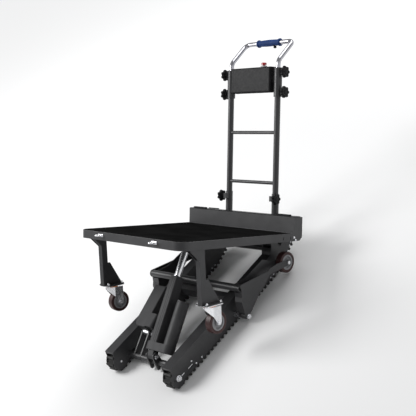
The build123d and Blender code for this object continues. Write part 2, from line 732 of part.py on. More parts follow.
def open_eye(length, neck):
    """The wide eye at an actuator's head, which has play on its pin, with a neck towards the body."""
    half = NECK_WIDTH / 2
    start = length - neck
    face = disc((length, 0), OPEN_EYE_RADIUS)
    face += polygon((start, -half), (length, -half), (length, half), (start, half))
    face -= disc((length, 0), HEAD_PIN_RADIUS + OPEN_PIVOT_GAP)
    return across(face, -EYE_WIDTH / 2, EYE_WIDTH / 2)


def tilt_gearbox():
    """The gear case at the tilt actuator's foot, with a round end below the motor, and the foot's eye."""
    radius = TILT_MOTOR_RADIUS + TILT_CASE_MARGIN
    case = block(
        TILT_CASE_LEFT, TILT_MOTOR_X, TILT_CASE_START, TILT_TUBE_START,
        -TILT_MOTOR_DROP - radius, -TILT_MOTOR_DROP + radius)
    case = fillet(case.edges().filter_by(Axis.Y).group_by(Axis.X)[0], CASE_CORNER)
    case += Pos(TILT_MOTOR_X, 0, -TILT_MOTOR_DROP) * rod_y(radius, TILT_CASE_START, TILT_TUBE_START)
    return case + foot_eye()


def tilt_tube():
    """The tube that guides the tilt actuator's rod, deeper than it is wide."""
    half = TILT_TUBE / 2
    floor = 6.0
    tube = block(-half, half, TILT_TUBE_START, TILT_TUBE_END, TILT_TUBE_BACK, TILT_TUBE_FACE)
    tube = fillet(tube.edges().filter_by(Axis.Y), CASE_CORNER)
    return tube - rod_y(TILT_ROD_RADIUS + RUNNING_GAP, TILT_TUBE_START + floor, TILT_TUBE_END)


def tilt_motor():
    """The round motor beside the tube, with a stepped end cap."""
    cap = 8.0
    step = 3.0
    motor = rod_y(TILT_MOTOR_RADIUS, TILT_TUBE_START, TILT_MOTOR_END - cap)
    motor += rod_y(TILT_MOTOR_RADIUS - step, TILT_MOTOR_END - cap, TILT_MOTOR_END)
    return Pos(TILT_MOTOR_X, 0, -TILT_MOTOR_DROP) * motor


def tilt_rod():
    """The chrome rod with the eye that meets the platform."""
    inside_eye = rod_x((TILT_LENGTH, 0), HEAD_PIN_RADIUS + OPEN_PIVOT_GAP, -EYE_WIDTH / 2, EYE_WIDTH / 2)
    rod = rod_y(TILT_ROD_RADIUS, TILT_ROD_START, TILT_LENGTH) - inside_eye
    return rod + open_eye(TILT_LENGTH, OPEN_EYE_RADIUS)


def lift_rod():
    """The lift actuator's chrome rod, with its eye at the lower end."""
    rod = rod_y(LIFT_ROD_RADIUS, EYE_SHANK, LIFT_LENGTH - LIFT_ROD_SHORT)
    return rod + foot_eye()


def lift_barrel():
    """The lift actuator's guide tube below its wide motor case and gear block, with an eye at the top."""
    half = LIFT_TUBE / 2
    tube_end = LIFT_LENGTH - LIFT_TUBE_SHORT
    case_end = LIFT_LENGTH - LIFT_CASE_SHORT
    tube = block(-half, half, LIFT_TUBE_START, tube_end, -half, LIFT_CASE_BOTTOM)
    case = block(
        LIFT_CASE_LEFT, LIFT_CASE_RIGHT, LIFT_CASE_START, case_end, LIFT_CASE_BOTTOM, LIFT_CASE_TOP)
    lower_left = case.edges().filter_by(Axis.Z).group_by(Axis.Y)[0].sort_by(Axis.X)[:1]
    case = fillet(lower_left, LIFT_CASE_ROUND)
    case = fillet(case.faces().sort_by(Axis.Z)[-1].edges(), CASE_CORNER)
    gear_block = block(
        LIFT_BLOCK_LEFT, LIFT_BLOCK_RIGHT, LIFT_BLOCK_START, LIFT_BLOCK_END, LIFT_CASE_BOTTOM, LIFT_CASE_TOP)
    right_edges = gear_block.edges().filter_by(Axis.Y).group_by(Axis.X)[-1]
    gear_block = fillet(right_edges, LIFT_BLOCK_ROUND)
    rod_bore = rod_y(LIFT_ROD_RADIUS + RUNNING_GAP, LIFT_TUBE_START, LIFT_LENGTH - LIFT_BORE_SHORT)
    return tube + case + gear_block + open_eye(LIFT_LENGTH, LIFT_NECK) - rod_bore


# Platform, in the deck frame

def deck_outline(inset):
    """The deck's outline from above, with round front corners."""
    front = DECK_FRONT + inset
    rear = DECK_REAR - inset
    face = Pos(0, (front + rear) / 2) * Rectangle(2 * (DECK_HALF_WIDTH - inset), rear - front)
    corners = face.vertices().group_by(Axis.Y)[0]
    return fillet(corners, DECK_CORNER - inset)


def platform_tray():
    """The deck sheet inside its rim, with two upright slots at the rear of each side."""
    rim = deck_outline(0) - deck_outline(RIM)
    tray = extrude(Pos(0, 0, DECK_BOTTOM) * rim, amount=DECK_TOP - DECK_BOTTOM)
    tray += extrude(Pos(0, 0, SHEET_TOP - DECK_SHEET) * deck_outline(RIM), amount=DECK_SHEET)
    half = RIM_SLOT_WIDTH / 2
    for side in SIDES.values():
        x0, x1 = sorted((side * DECK_HALF_WIDTH, side * (DECK_HALF_WIDTH - RIM)))
        for y in RIM_SLOTS:
            tray -= block(x0, x1, y - half, y + half, RIM_SLOT_BOTTOM, RIM_SLOT_TOP)
    return tray


def deck_mat():
    """The ribbed rubber mat on the deck sheet."""
    edge_gap = 1.0
    top = SHEET_TOP + MAT_THICKNESS
    mat = extrude(Pos(0, 0, SHEET_TOP) * deck_outline(RIM + edge_gap), amount=MAT_THICKNESS)
    grooves = []
    for index in range(-MAT_GROOVES_PER_SIDE, MAT_GROOVES_PER_SIDE + 1):
        x = index * MAT_GROOVE_STEP
        half = MAT_GROOVE_WIDTH / 2
        grooves.append(block(
            x - half, x + half, DECK_FRONT + MAT_EDGE, DECK_REAR - MAT_EDGE, top - MAT_GROOVE_DEPTH, top))
    return mat - grooves


def platform_frame():
    """Channels below the deck sheet, open underneath, with the hinge lugs and the rod's clevis."""
    top = SHEET_TOP - DECK_SHEET
    front = DECK_FRONT + RIM
    rear = DECK_REAR - RIM
    end = DECK_HALF_WIDTH - RIM
    half = CHANNEL_WIDTH / 2
    bar_places = (LEG_Y, TILT_HEAD[0], rear - half - REAR_CHANNEL_GAP)
    bars = [(-end, end, y - half, y + half) for y in bar_places]
    bars += [(side * TRACK_X - half, side * TRACK_X + half, front, rear) for side in SIDES.values()]
    frame = Part() + [block(*bar, DECK_BOTTOM, top) for bar in bars]
    frame -= [
        block(x0 + CHANNEL, x1 - CHANNEL, y0 + CHANNEL, y1 - CHANNEL, DECK_BOTTOM, top - CHANNEL)
        for x0, x1, y0, y1 in bars]
    lug = disc((0, 0), LUG_RADIUS) + polygon(*LUG_WEB)
    lug -= disc((0, 0), HINGE_PIN_RADIUS + RUNNING_GAP)
    for side in SIDES.values():
        frame += across(lug, side * TRACK_X - LUG_WIDTH / 2, side * TRACK_X + LUG_WIDTH / 2)
    inner = CLEVIS_GAP / 2
    pad = inner + CLEVIS_PLATE + CHANNEL
    frame += block(
        TILT_X - pad, TILT_X + pad, TILT_HEAD[0] - half, TILT_HEAD[0] + half,
        DECK_BOTTOM, DECK_BOTTOM + CHANNEL)
    ear = slot_between(TILT_HEAD, (TILT_HEAD[0], DECK_BOTTOM), TILT_EAR_RADIUS)
    for x in (TILT_X - inner - CLEVIS_PLATE, TILT_X + inner):
        frame += across(ear, x, x + CLEVIS_PLATE)
    return frame + rod_x(TILT_HEAD, HEAD_PIN_RADIUS, TILT_X - inner, TILT_X + inner)


def leg():
    """The right front leg: hollow leaning post, front and rear gussets and the foot plate."""
    left = LEG_X - LEG_WIDTH / 2
    right = LEG_X + LEG_WIDTH / 2
    foot_top = FOOT_Z + FOOT_THICKNESS
    body = block(left, right, LEG_FRONT, LEG_REAR, FOOT_Z, LEG_SPARE)
    body -= block(
        left + LEG_WALL, right - LEG_WALL, LEG_FRONT + LEG_WALL, LEG_REAR - LEG_WALL, foot_top, LEG_SPARE)
    length, drop = FRONT_GUSSET
    front_gusset = polygon(
        (LEG_FRONT, LEG_SPARE), (LEG_FRONT - length, LEG_SPARE), (LEG_FRONT - length, 0), (LEG_FRONT, -drop))
    rear_gusset = polygon(*REAR_GUSSET, (LEG_REAR, foot_top))
    for x in (left, right - LEG_GUSSET):
        body += across(front_gusset, x, x + LEG_GUSSET)
        body += across(rear_gusset, x, x + LEG_GUSSET)
    half_x = CASTER_PLATE_WIDTH / 2
    half_y = CASTER_PLATE_LENGTH / 2
    foot = block(LEG_X - half_x, LEG_X + half_x, SWIVEL_Y - half_y, SWIVEL_Y + half_y, FOOT_Z, foot_top)
    foot = fillet(foot.edges().filter_by(Axis.Z), PLATE_CORNER)
    body += foot - rod_z(LEG_X, SWIVEL_Y, KINGPIN_HOLE, FOOT_Z, foot_top)
    above_deck = 4 * LEG_SPARE
    front = LEG_Y - 2 * length
    spare = block(left, right, front, LEG_Y + length, DECK_BOTTOM, DECK_BOTTOM + above_deck)
    return LEG * body - spare


def caster_place(word, turn):
    """The place of a caster on its leg, turned about its swivel line."""
    return LEG * Pos(SIDES[word] * LEG_X, SWIVEL_Y, 0) * Rot(0, 0, turn)


def caster_plate():
    """A caster's top plate with its race."""
    bottom = FOOT_Z - CASTER_PLATE
    half_x = CASTER_PLATE_WIDTH / 2
    half_y = CASTER_PLATE_LENGTH / 2
    plate = block(-half_x, half_x, -half_y, half_y, bottom, FOOT_Z)
    plate = fillet(plate.edges().filter_by(Axis.Z), PLATE_CORNER)
    plate += rod_z(0, 0, RACE_RADIUS - SEAL_WIDTH, bottom - RACE_HEIGHT, bottom)
    return plate - rod_z(0, 0, KINGPIN_RADIUS + RUNNING_GAP, bottom - RACE_HEIGHT, FOOT_Z)


def caster_bolts():
    """The nuts and bolt ends that hold a caster to its foot plate."""
    foot_top = FOOT_Z + FOOT_THICKNESS
    nut_top = foot_top + CASTER_NUT_HEIGHT
    bolts = []
    for x in (-CASTER_BOLT_X, CASTER_BOLT_X):
        for y in (-CASTER_BOLT_Y, CASTER_BOLT_Y):
            nut = Pos(x, y, foot_top) * extrude(RegularPolygon(CASTER_NUT_SIZE, 6), amount=CASTER_NUT_HEIGHT)
            bolts.append(nut + rod_z(x, y, CASTER_BOLT_RADIUS, nut_top, nut_top + CASTER_BOLT_RADIUS))
    return bolts


def bearing_seal():
    """The ring that closes a caster's race."""
    top = FOOT_Z - CASTER_PLATE
    ring = rod_z(0, 0, RACE_RADIUS, top - SEAL_HEIGHT, top)
    return ring - rod_z(0, 0, RACE_RADIUS - SEAL_WIDTH, top - SEAL_HEIGHT, top)


def caster_fork():
    """A caster's fork: crown and kingpin, two upright cheeks, and a nose whose walls meet in front."""
    crown_top = FOOT_Z - CASTER_PLATE - RACE_HEIGHT - LOOSE_GAP
    crown_bottom = crown_top - FORK_SHEET
    outer = FORK_HALF_GAP + FORK_SHEET
    nose_y, nose_z = FORK_NOSE
    crown = polygon(
        (outer, FORK_REAR), (outer, FORK_FRONT), (FORK_NOSE_HALF, nose_y),
        (-FORK_NOSE_HALF, nose_y), (-outer, FORK_FRONT), (-outer, FORK_REAR))
    fork = extrude(Pos(0, 0, crown_bottom) * crown, amount=FORK_SHEET)
    fork += rod_z(0, 0, KINGPIN_RADIUS, crown_bottom, FOOT_Z + KINGPIN_TOP)
    wall_foot = polygon(
        (outer, FORK_FRONT), (FORK_NOSE_HALF, nose_y), (FORK_NOSE_HALF - FORK_SHEET, nose_y),
        (FORK_HALF_GAP, FORK_FRONT))
    wall = extrude(Pos(0, 0, CHEEK_CORNER_Z) * wall_foot, amount=crown_top - CHEEK_CORNER_Z)
    below_nose = polygon((FORK_FRONT, CHEEK_CORNER_Z), FORK_NOSE, (nose_y, CHEEK_CORNER_Z))
    wall -= across(below_nose, 0, outer)
    cheek = polygon(
        (FORK_FRONT, crown_top), (FORK_REAR, crown_top), *CHEEK_TIP, (FORK_FRONT, CHEEK_CORNER_Z))
    cheek -= disc(CASTER_AXLE, WHEEL_BOLT_RADIUS)
    return fork + both_sides([wall, across(cheek, FORK_HALF_GAP, outer)])


def strap_eye(x):
    """A flat ring on the front rim for a strap hook."""
    width, thickness, height = EYE_BASE
    ring_y = DECK_FRONT - EYE_REACH + EYE_RING
    face = Pos(x, ring_y) * Circle(EYE_RING)
    face += Pos(x, (DECK_FRONT + ring_y) / 2) * Rectangle(2 * EYE_RING, DECK_FRONT - ring_y)
    face -= Pos(x, ring_y) * Circle(EYE_BORE)
    ring = extrude(Pos(0, 0, EYE_HEIGHT - EYE_SHEET / 2) * face, amount=EYE_SHEET)
    base = block(
        x - width / 2, x + width / 2, DECK_FRONT - thickness, DECK_FRONT,
        EYE_HEIGHT - height / 2, EYE_HEIGHT + height / 2)
    return ring + base


# Battery box, in the deck frame

def box_outline(wall):
    """The box's side view with its cut lower rear edge, inset by a wall on all sides but the top."""
    return polygon(
        (DECK_REAR + wall, DECK_BOTTOM + wall), (BOX_REAR - BOX_CUT[0] - wall / 2, DECK_BOTTOM + wall),
        (BOX_REAR - wall, DECK_BOTTOM + BOX_CUT[1] + wall / 2), (BOX_REAR - wall, BOX_TOP),
        (DECK_REAR + wall, BOX_TOP))


def battery_box():
    """The box along the deck's rear edge, open at the top, with a strip for the lid's hinges."""
    half = DECK_HALF_WIDTH
    inner_half = half - BOX_WALL
    box = across(box_outline(0), -half, half) - across(box_outline(BOX_WALL), -inner_half, inner_half)
    box += block(-half, half, LID_STRIP, BOX_REAR, BOX_TOP - BOX_WALL, BOX_TOP)
    start = KNUCKLE_X + KNUCKLE_GAP
    end = start + KNUCKLE_LENGTH
    hinge_y, hinge_z = LID_HINGE
    knuckle = rod_x(LID_HINGE, KNUCKLE_RADIUS, start, end)
    knuckle += block(start, end, hinge_y, hinge_y + KNUCKLE_WEB, BOX_TOP - BOX_WALL, hinge_z)
    return box + both_sides([knuckle])


def battery_lid():
    """The box's lid with two finger latches and its half of the hinges."""
    edge_gap = 1.0
    half = DECK_HALF_WIDTH - edge_gap
    front = DECK_REAR + edge_gap
    bottom = BOX_TOP + LID_GAP
    lid = block(-half, half, front, LID_REAR, bottom, bottom + LID_THICKNESS)
    end = KNUCKLE_X - KNUCKLE_GAP
    start = end - KNUCKLE_LENGTH
    knuckle = rod_x(LID_HINGE, KNUCKLE_RADIUS, start, end)
    knuckle += block(start, end, LID_REAR - KNUCKLE_WEB, LID_HINGE[0], bottom, bottom + LID_THICKNESS)
    lid += both_sides([knuckle])
    for side in SIDES.values():
        x = side * LATCH_X
        lid += block(
            x - LATCH_HALF_LENGTH, x + LATCH_HALF_LENGTH, front, front + LATCH_DEPTH,
            bottom, bottom + LATCH_HEIGHT)
    return lid


def battery_brick():
    """The right one of the two battery bricks inside the box."""
    return block(
        PACK_X - PACK_HALF_LENGTH, PACK_X + PACK_HALF_LENGTH,
        DECK_REAR + PACK_MARGIN, BOX_REAR - PACK_MARGIN,
        DECK_BOTTOM + PACK_BOTTOM, BOX_TOP - PACK_BELOW_TOP)


# Mast and handle, in the deck frame

def mast_socket():
    """The right socket behind the box, with the ears that its clamp knob draws together."""
    socket = rod_z(MAST_X, MAST_Y, SOCKET_RADIUS, MAST_BOTTOM - SOCKET_FLOOR, SOCKET_TOP)
    socket += block(
        MAST_X - SOCKET_FOOT_HALF, MAST_X + SOCKET_FOOT_HALF, BOX_REAR, MAST_Y,
        MAST_BOTTOM - SOCKET_FLOOR, SOCKET_FOOT_TOP)
    socket += block(
        MAST_X - CLAMP_HALF_LENGTH, MAST_X + CLAMP_HALF_LENGTH, CLAMP_Y - CLAMP_EAR, MAST_Y,
        KNOB_HEIGHTS["base"] - CLAMP_HALF_HEIGHT, KNOB_HEIGHTS["base"] + CLAMP_HALF_HEIGHT)
    socket -= rod_z(MAST_X, MAST_Y, MAST_RADIUS, MAST_BOTTOM, SOCKET_TOP)
    clamp_end = MAST_X + CLAMP_HALF_LENGTH
    return socket - rod_x((CLAMP_Y, KNOB_HEIGHTS["base"]), STUD_RADIUS + LOOSE_GAP, MAST_X, clamp_end)


def mast_frame():
    """The mast's two tubes with their cross bars and the clamp heads at their tops."""
    frame = Part()
    for side in SIDES.values():
        frame += rod_z(side * MAST_X, MAST_Y, MAST_RADIUS, MAST_BOTTOM, MAST_TOP)
        frame += rod_z(side * MAST_X, MAST_Y, MAST_HEAD_RADIUS, MAST_HEAD_BOTTOM, MAST_TOP)
    for z in CROSS_BAR_HEIGHTS:
        frame += rod_x((MAST_Y, z), CROSS_BAR_RADIUS, -MAST_X, MAST_X)
    for side in SIDES.values():
        stud_hole = sorted((side * MAST_X, side * (MAST_X + MAST_HEAD_RADIUS)))
        for level in ("middle", "top"):
            frame -= rod_x((MAST_Y, KNOB_HEIGHTS[level]), STUD_RADIUS + LOOSE_GAP, *stud_hole)
        frame -= rod_z(side * MAST_X, MAST_Y, HANDLE_RADIUS + LOOSE_GAP, MAST_BOTTOM, MAST_TOP)
    return frame


def knob(y, z, start):
    """A star knob on the right, on a stud along x, from start outwards."""
    reach = KNOB_RADIUS - KNOB_LOBE_RADIUS
    face = disc((y, z), KNOB_CORE_RADIUS)
    for index in range(KNOB_LOBES):
        turn = 2 * math.pi * index / KNOB_LOBES
        face += disc((y + reach * math.cos(turn), z + reach * math.sin(turn)), KNOB_LOBE_RADIUS)
    head = across(face, start + KNOB_NECK, start + KNOB_NECK + KNOB_HEAD)
    neck = rod_x((y, z), KNOB_NECK_RADIUS, start, start + KNOB_NECK)
    return head + neck + rod_x((y, z), STUD_RADIUS, start - STUD_REACH, start)


def control_box():
    """The control box between the mast's heads, open below, with a well for the stop button."""
    half = MAST_X - MAST_HEAD_RADIUS - CONTROL_SIDE_GAP
    bottom = CONTROL_TOP - CONTROL_HEIGHT
    front = MAST_Y - CONTROL_FRONT
    rear = MAST_Y + CONTROL_REAR
    box = block(-half, half, front, rear, bottom, CONTROL_TOP)
    box = fillet(box.edges().filter_by(Axis.X) + box.edges().filter_by(Axis.Z), CONTROL_CORNER)
    box -= block(
        -half + CONTROL_WALL, half - CONTROL_WALL, front + CONTROL_WALL, rear - CONTROL_WALL,
        bottom, CONTROL_TOP - CONTROL_ROOF)
    for side in SIDES.values():
        x0, x1 = sorted((side * (half - JOIN), side * (MAST_X - MAST_HEAD_RADIUS)))
        box += block(
            x0, x1, MAST_Y - BRACKET_HALF, MAST_Y + BRACKET_HALF,
            bottom + BRACKET_BOTTOM, bottom + BRACKET_TOP)
    return box - rod_z(STOP_X, MAST_Y, STOP_STEM_RADIUS + LOOSE_GAP, CONTROL_TOP - STOP_WELL, CONTROL_TOP)


def stop_collar():
    """The grey ring round the stop button."""
    top = CONTROL_TOP + STOP_RING_HEIGHT
    ring = rod_z(STOP_X, MAST_Y, STOP_RING_RADIUS, CONTROL_TOP, top)
    return ring - rod_z(STOP_X, MAST_Y, STOP_STEM_RADIUS + LOOSE_GAP, CONTROL_TOP, top)


def stop_button():
    """The red mushroom head on its stem."""
    cap_bottom = CONTROL_TOP + STOP_RING_HEIGHT + STOP_TRAVEL + STOP_GAP
    cap = rod_z(STOP_X, MAST_Y, STOP_CAP_RADIUS, cap_bottom, cap_bottom + STOP_CAP_HEIGHT)
    cap = fillet(cap.edges().group_by(Axis.Z)[-1], STOP_CAP_ROUND)
    return cap + rod_z(STOP_X, MAST_Y, STOP_STEM_RADIUS, CONTROL_TOP - STOP_STEM_DEPTH, cap_bottom)


def handle_tube():
    """The chrome handle: two legs in the mast, leaned back to the bar."""
    bar_y, bar_z = HANDLE_BAR
    path = FilletPolyline(
        (-MAST_X, MAST_Y, HANDLE_BOTTOM), (-MAST_X, MAST_Y, HANDLE_BEND_Z), (-MAST_X, bar_y, bar_z),
        (MAST_X, bar_y, bar_z), (MAST_X, MAST_Y, HANDLE_BEND_Z), (MAST_X, MAST_Y, HANDLE_BOTTOM),
        radius=HANDLE_BENDS)
    section = Plane(path @ 0, z_dir=path % 0) * (Circle(HANDLE_RADIUS) - Circle(HANDLE_BORE))
    return sweep(section, path=path)


def handle_grip():
    """The soft grip with a flange at each end and a hole for the button."""
    grip = rod_x(HANDLE_BAR, GRIP_RADIUS, -GRIP_HALF_LENGTH, GRIP_HALF_LENGTH)
    for x in (-GRIP_HALF_LENGTH, GRIP_HALF_LENGTH - GRIP_FLANGE_WIDTH):
        grip += rod_x(HANDLE_BAR, GRIP_FLANGE, x, x + GRIP_FLANGE_WIDTH)
    grip -= rod_x(HANDLE_BAR, HANDLE_RADIUS, -GRIP_HALF_LENGTH, GRIP_HALF_LENGTH)
    bar_y, bar_z = HANDLE_BAR
    return grip - rod_z(BUTTON_X, bar_y, BUTTON_RADIUS + LOOSE_GAP, bar_z - 2 * GRIP_RADIUS, bar_z)


def grip_button():
    """The small button below the grip, with room to travel up to the tube."""
    bar_y, bar_z = HANDLE_BAR
    top = bar_z - HANDLE_RADIUS - BUTTON_GAP
    button = rod_z(BUTTON_X, bar_y, BUTTON_RADIUS, top - BUTTON_LENGTH, top)
    return fillet(button.edges().group_by(Axis.Z)[0], BUTTON_ROUND)


# Build every node

KNOB_STARTS = {
    "base": (CLAMP_Y, MAST_X + CLAMP_HALF_LENGTH + BASE_KNOB_GAP),
    "middle": (MAST_Y, MAST_X + MAST_HEAD_RADIUS + HEAD_KNOB_GAP),
    "top": (MAST_Y, MAST_X + MAST_HEAD_RADIUS + HEAD_KNOB_GAP),
}
FORK_OUTER = FORK_HALF_GAP + FORK_SHEET
caster_plates = []
bearing_seals = []

for word, side in SIDES.items():
    rear_tyre, rear_hub = wheel_parts(WHEEL_AXLE, (ARM_INNER + ARM_OUTER) / 2, WHEEL_WIDTH)
    caster_tyre, caster_hub = wheel_parts(CASTER_AXLE, 0, CASTER_WHEEL_WIDTH)
    caster_bolt = wheel_bolt(CASTER_AXLE, -FORK_OUTER, FORK_OUTER)
    plate_place = caster_place(word, 0)
    fork_place = caster_place(word, CASTER_TURNS[word])
    caster_plates += [plate_place * piece for piece in (caster_plate(), *caster_bolts())]
    bearing_seals.append(plate_place * bearing_seal())
    in_track(f"{word}_track_beam", mirrored(beam(), side))
    in_track(f"{word}_track_belt", mirrored(belt(), side))
    in_track(f"{word}_front_drum", mirrored(drum(FRONT, AXLE_RADIUS + RUNNING_GAP), side))
    in_track(f"{word}_rear_sprocket", mirrored(rear_sprocket(), side))
    in_track(f"{word}_drive_motor", mirrored(drive_unit(), side))
    in_track(f"{word}_lift_arm", mirrored(lift_arm(), side))
    in_track(f"{word}_rear_tyre", mirrored(rear_tyre, side))
    in_track(f"{word}_rear_hub", mirrored(rear_hub, side))
    in_deck(f"{word}_leg", mirrored(leg(), side))
    in_deck(f"{word}_caster_fork", fork_place * caster_fork(), fork_place * caster_bolt)
    in_deck(f"{word}_caster_tyre", fork_place * caster_tyre)
    in_deck(f"{word}_caster_hub", fork_place * caster_hub)
    for level, z in KNOB_HEIGHTS.items():
        knob_y, knob_start = KNOB_STARTS[level]
        in_deck(f"{word}_{level}_knob", mirrored(knob(knob_y, z, knob_start), side))

in_track("belt_rails", *both_sides([belt_rail(), hold_down_shoe()]))
in_track("chassis_pins", *both_sides([front_axle(), *pivot_pins()]))
foot_bolts = [clevis_bolt(TILT_FOOT, TILT_X), clevis_bolt(LIFT_FOOT, LIFT_X)]
in_track("chassis_bolts", *both_sides(beam_bolts()), *foot_bolts)
in_track("front_cross_frame", front_cross_frame())
in_track("rear_cross_members", cross_tube(REAR_TUBE, FRONT_TUBE_RADIUS, BEAM_INSIDE), middle_bar())
in_track("lift_cross_tube", lift_cross_tube())
in_track("rear_wheel_bolts", *both_sides([wheel_bolt(WHEEL_AXLE, ARM_INNER, ARM_OUTER)]))
in_track("lift_rod", LIFT_PLACE * lift_rod())
in_track("lift_barrel", LIFT_PLACE * lift_barrel())
in_track("tilt_gearbox", TILT_PLACE * tilt_gearbox())
in_track("tilt_tube", TILT_PLACE * tilt_tube())
in_track("tilt_motor", TILT_PLACE * tilt_motor())
in_track("tilt_rod", TILT_PLACE * tilt_rod())
in_deck("platform_tray", platform_tray())
in_deck("deck_mat", deck_mat())
in_deck("platform_frame", platform_frame())
in_deck("caster_plates", *caster_plates)
in_deck("bearing_seals", *bearing_seals)
in_deck("strap_eyes", *[strap_eye(x) for x in EYE_PLACES])
in_deck("battery_box", battery_box())
in_deck("battery_lid", battery_lid())
in_deck("battery_pack", *both_sides([battery_brick()]))
in_deck("mast_base", *both_sides([mast_socket()]))
in_deck("mast_frame", mast_frame())
in_deck("control_box", control_box())
in_deck("stop_collar", stop_collar())
in_deck("stop_button", stop_button())
in_deck("handle_tube", handle_tube())
in_deck("handle_grip", handle_grip())
in_deck("grip_button", grip_button())

os.makedirs("parts", exist_ok=True)
for name, pieces in nodes.items():
    solids = [solid for piece in pieces for solid in piece.solids()]
    export_step(Compound(children=solids), f"parts/{name}.step")
print(len(nodes), "nodes")
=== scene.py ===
# %% [markdown]
# # A stair climbing hand truck
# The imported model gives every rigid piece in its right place. This lesson dresses it: it sets the camera
# and the light, gives each piece a finish, and swaps the pieces whose roundness matters for surfaces worked
# out with numpy.

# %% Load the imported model
import json
import math

import bmesh
import bpy
import numpy as np
from mathutils import Matrix


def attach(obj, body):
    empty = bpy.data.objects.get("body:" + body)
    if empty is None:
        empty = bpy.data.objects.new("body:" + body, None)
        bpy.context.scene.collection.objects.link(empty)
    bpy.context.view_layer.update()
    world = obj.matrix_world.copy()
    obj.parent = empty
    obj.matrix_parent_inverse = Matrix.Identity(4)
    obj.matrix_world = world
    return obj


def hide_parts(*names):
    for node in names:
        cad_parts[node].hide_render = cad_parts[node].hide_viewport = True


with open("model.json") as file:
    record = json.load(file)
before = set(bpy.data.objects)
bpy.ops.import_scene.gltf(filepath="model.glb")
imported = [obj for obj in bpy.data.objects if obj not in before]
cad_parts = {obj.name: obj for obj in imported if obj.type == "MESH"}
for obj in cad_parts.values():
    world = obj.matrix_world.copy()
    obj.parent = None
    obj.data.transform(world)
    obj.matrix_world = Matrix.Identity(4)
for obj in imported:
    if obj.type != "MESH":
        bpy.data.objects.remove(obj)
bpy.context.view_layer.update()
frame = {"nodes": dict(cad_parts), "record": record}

nodes = frame["nodes"]

# %% [markdown]
# ## Frames to measure in
# A maker measures the tracks along the ground, the deck from its hinge, a leg from its top, a caster from
# its swivel line and the tilt actuator from its foot. The truck stands on flat tracks, so its deck leans
# back. Small functions carry places from each of these frames, in millimetres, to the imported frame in
# metres.

# %% From the tracks, the deck, the legs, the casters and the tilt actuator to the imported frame
DECK_TILT = math.radians(35.6)
LEG_LEAN = math.radians(4.8)
HINGE = np.array([0.0, 851.0, 150.0])
MIDDLE_Y, GROUND = 792.8, -4.0
LEG_X, LEG_Y, LEG_TOP, SWIVEL_Y = 358.0, -623.0, 24.5, 43.0
CASTER_TURNS = {"left": math.radians(-6.5), "right": 0.0}
SIDES = {"left": -1, "right": 1}
TILT_FOOT = np.array([15.0, 57.0, 75.0])
TILT_LINE = math.radians(31.45)


def lean(places, angle=DECK_TILT):
    """Turn (x, y, z) about the x axis: y becomes y cos t + z sin t, and z becomes z cos t - y sin t."""
    places = np.asarray(places, float)
    cosine, sine = math.cos(angle), math.sin(angle)
    x, y, z = places[..., 0], places[..., 1], places[..., 2]
    return np.stack([x, y * cosine + z * sine, z * cosine - y * sine], axis=-1)


def from_track(places):
    """Move track places to the middle of the truck on the ground and change millimetres to metres."""
    return (np.asarray(places, float) - [0.0, MIDDLE_Y, GROUND]) / 1000


def from_deck(places):
    """Lean deck places back about the hinge, then go on as for the tracks."""
    return from_track(lean(places) + HINGE)


def from_leg(places):
    """Lean places of a leg forward about its top, then go on as for the deck."""
    return from_deck(lean(places, -LEG_LEAN) + [0.0, LEG_Y, LEG_TOP])


def from_caster(places, word):
    """Turn about the swivel line, x' = x cos t - y sin t and y' = x sin t + y cos t, then as for the leg."""
    places = np.asarray(places, float)
    cosine, sine = math.cos(CASTER_TURNS[word]), math.sin(CASTER_TURNS[word])
    x, y, z = places[..., 0], places[..., 1], places[..., 2]
    around = np.stack([x * cosine - y * sine, x * sine + y * cosine, z], axis=-1)
    return from_leg(around + [SIDES[word] * LEG_X, SWIVEL_Y, 0.0])


def from_tilt(places):
    """Raise places drawn along y from the tilt actuator's foot to its line, then go on as for the tracks."""
    return from_track(lean(places, -TILT_LINE) + TILT_FOOT)


print("deck's front edge at", from_deck([0, -754, 64]).round(3))

# %% [markdown]
# ## Camera
# The picture was taken with the deck level, from the front right and a little above it. The same view is
# set up in the deck's frame and leans back with the deck. A lens of 76 mm on a 36 mm sensor gives the
# picture's slight perspective.

# %% Camera at the picture's place
CAMERA_PLACE = (3179.8, -3312.6, 482.8)
AZIMUTH, ELEVATION, ROLL = np.radians([45.91, 4.00, 1.01])
LENS = 76.19

back = np.array([
    math.sin(AZIMUTH) * math.cos(ELEVATION), -math.cos(AZIMUTH) * math.cos(ELEVATION), math.sin(ELEVATION)])
right = np.cross(-back, [0, 0, 1])
right /= np.linalg.norm(right)
up = np.cross(back, right)
camera_x = math.cos(ROLL) * right + math.sin(ROLL) * up
camera_y = math.cos(ROLL) * up - math.sin(ROLL) * right
camera_data = bpy.data.cameras.new("picture_camera")
camera_data.lens = LENS
camera_data.sensor_width = 36.0
camera_data.clip_end = 200.0
camera = bpy.data.objects.new("picture_camera", camera_data)
placed = np.eye(4)
placed[:3, :3] = lean([camera_x, camera_y, back]).T
placed[:3, 3] = from_deck(CAMERA_PLACE)
camera.matrix_world = Matrix(placed.tolist())
bpy.context.scene.collection.objects.link(camera)
bpy.context.scene.camera = camera
bpy.context.scene.view_settings.view_transform = "Standard"
print("camera at", placed[:3, 3].round(3))

# %% [markdown]
# ## Floor and light
# A plain pale floor carries the shadow. Far from the truck, where the lamps no longer reach, it fades to
# white for the camera and in reflections. The world gives soft light from all round, and three large lamps
# shape the black faces: a key from the front left, a weaker fill from the right and one from above. They
# are placed in the deck's frame, because that is what stands upright in the picture.

# %% Floor, world and lamps
FLOOR_HALF = 40.0
FADE_START, FADE_END, FADE_GLOW = 1.2, 4.5, 0.55


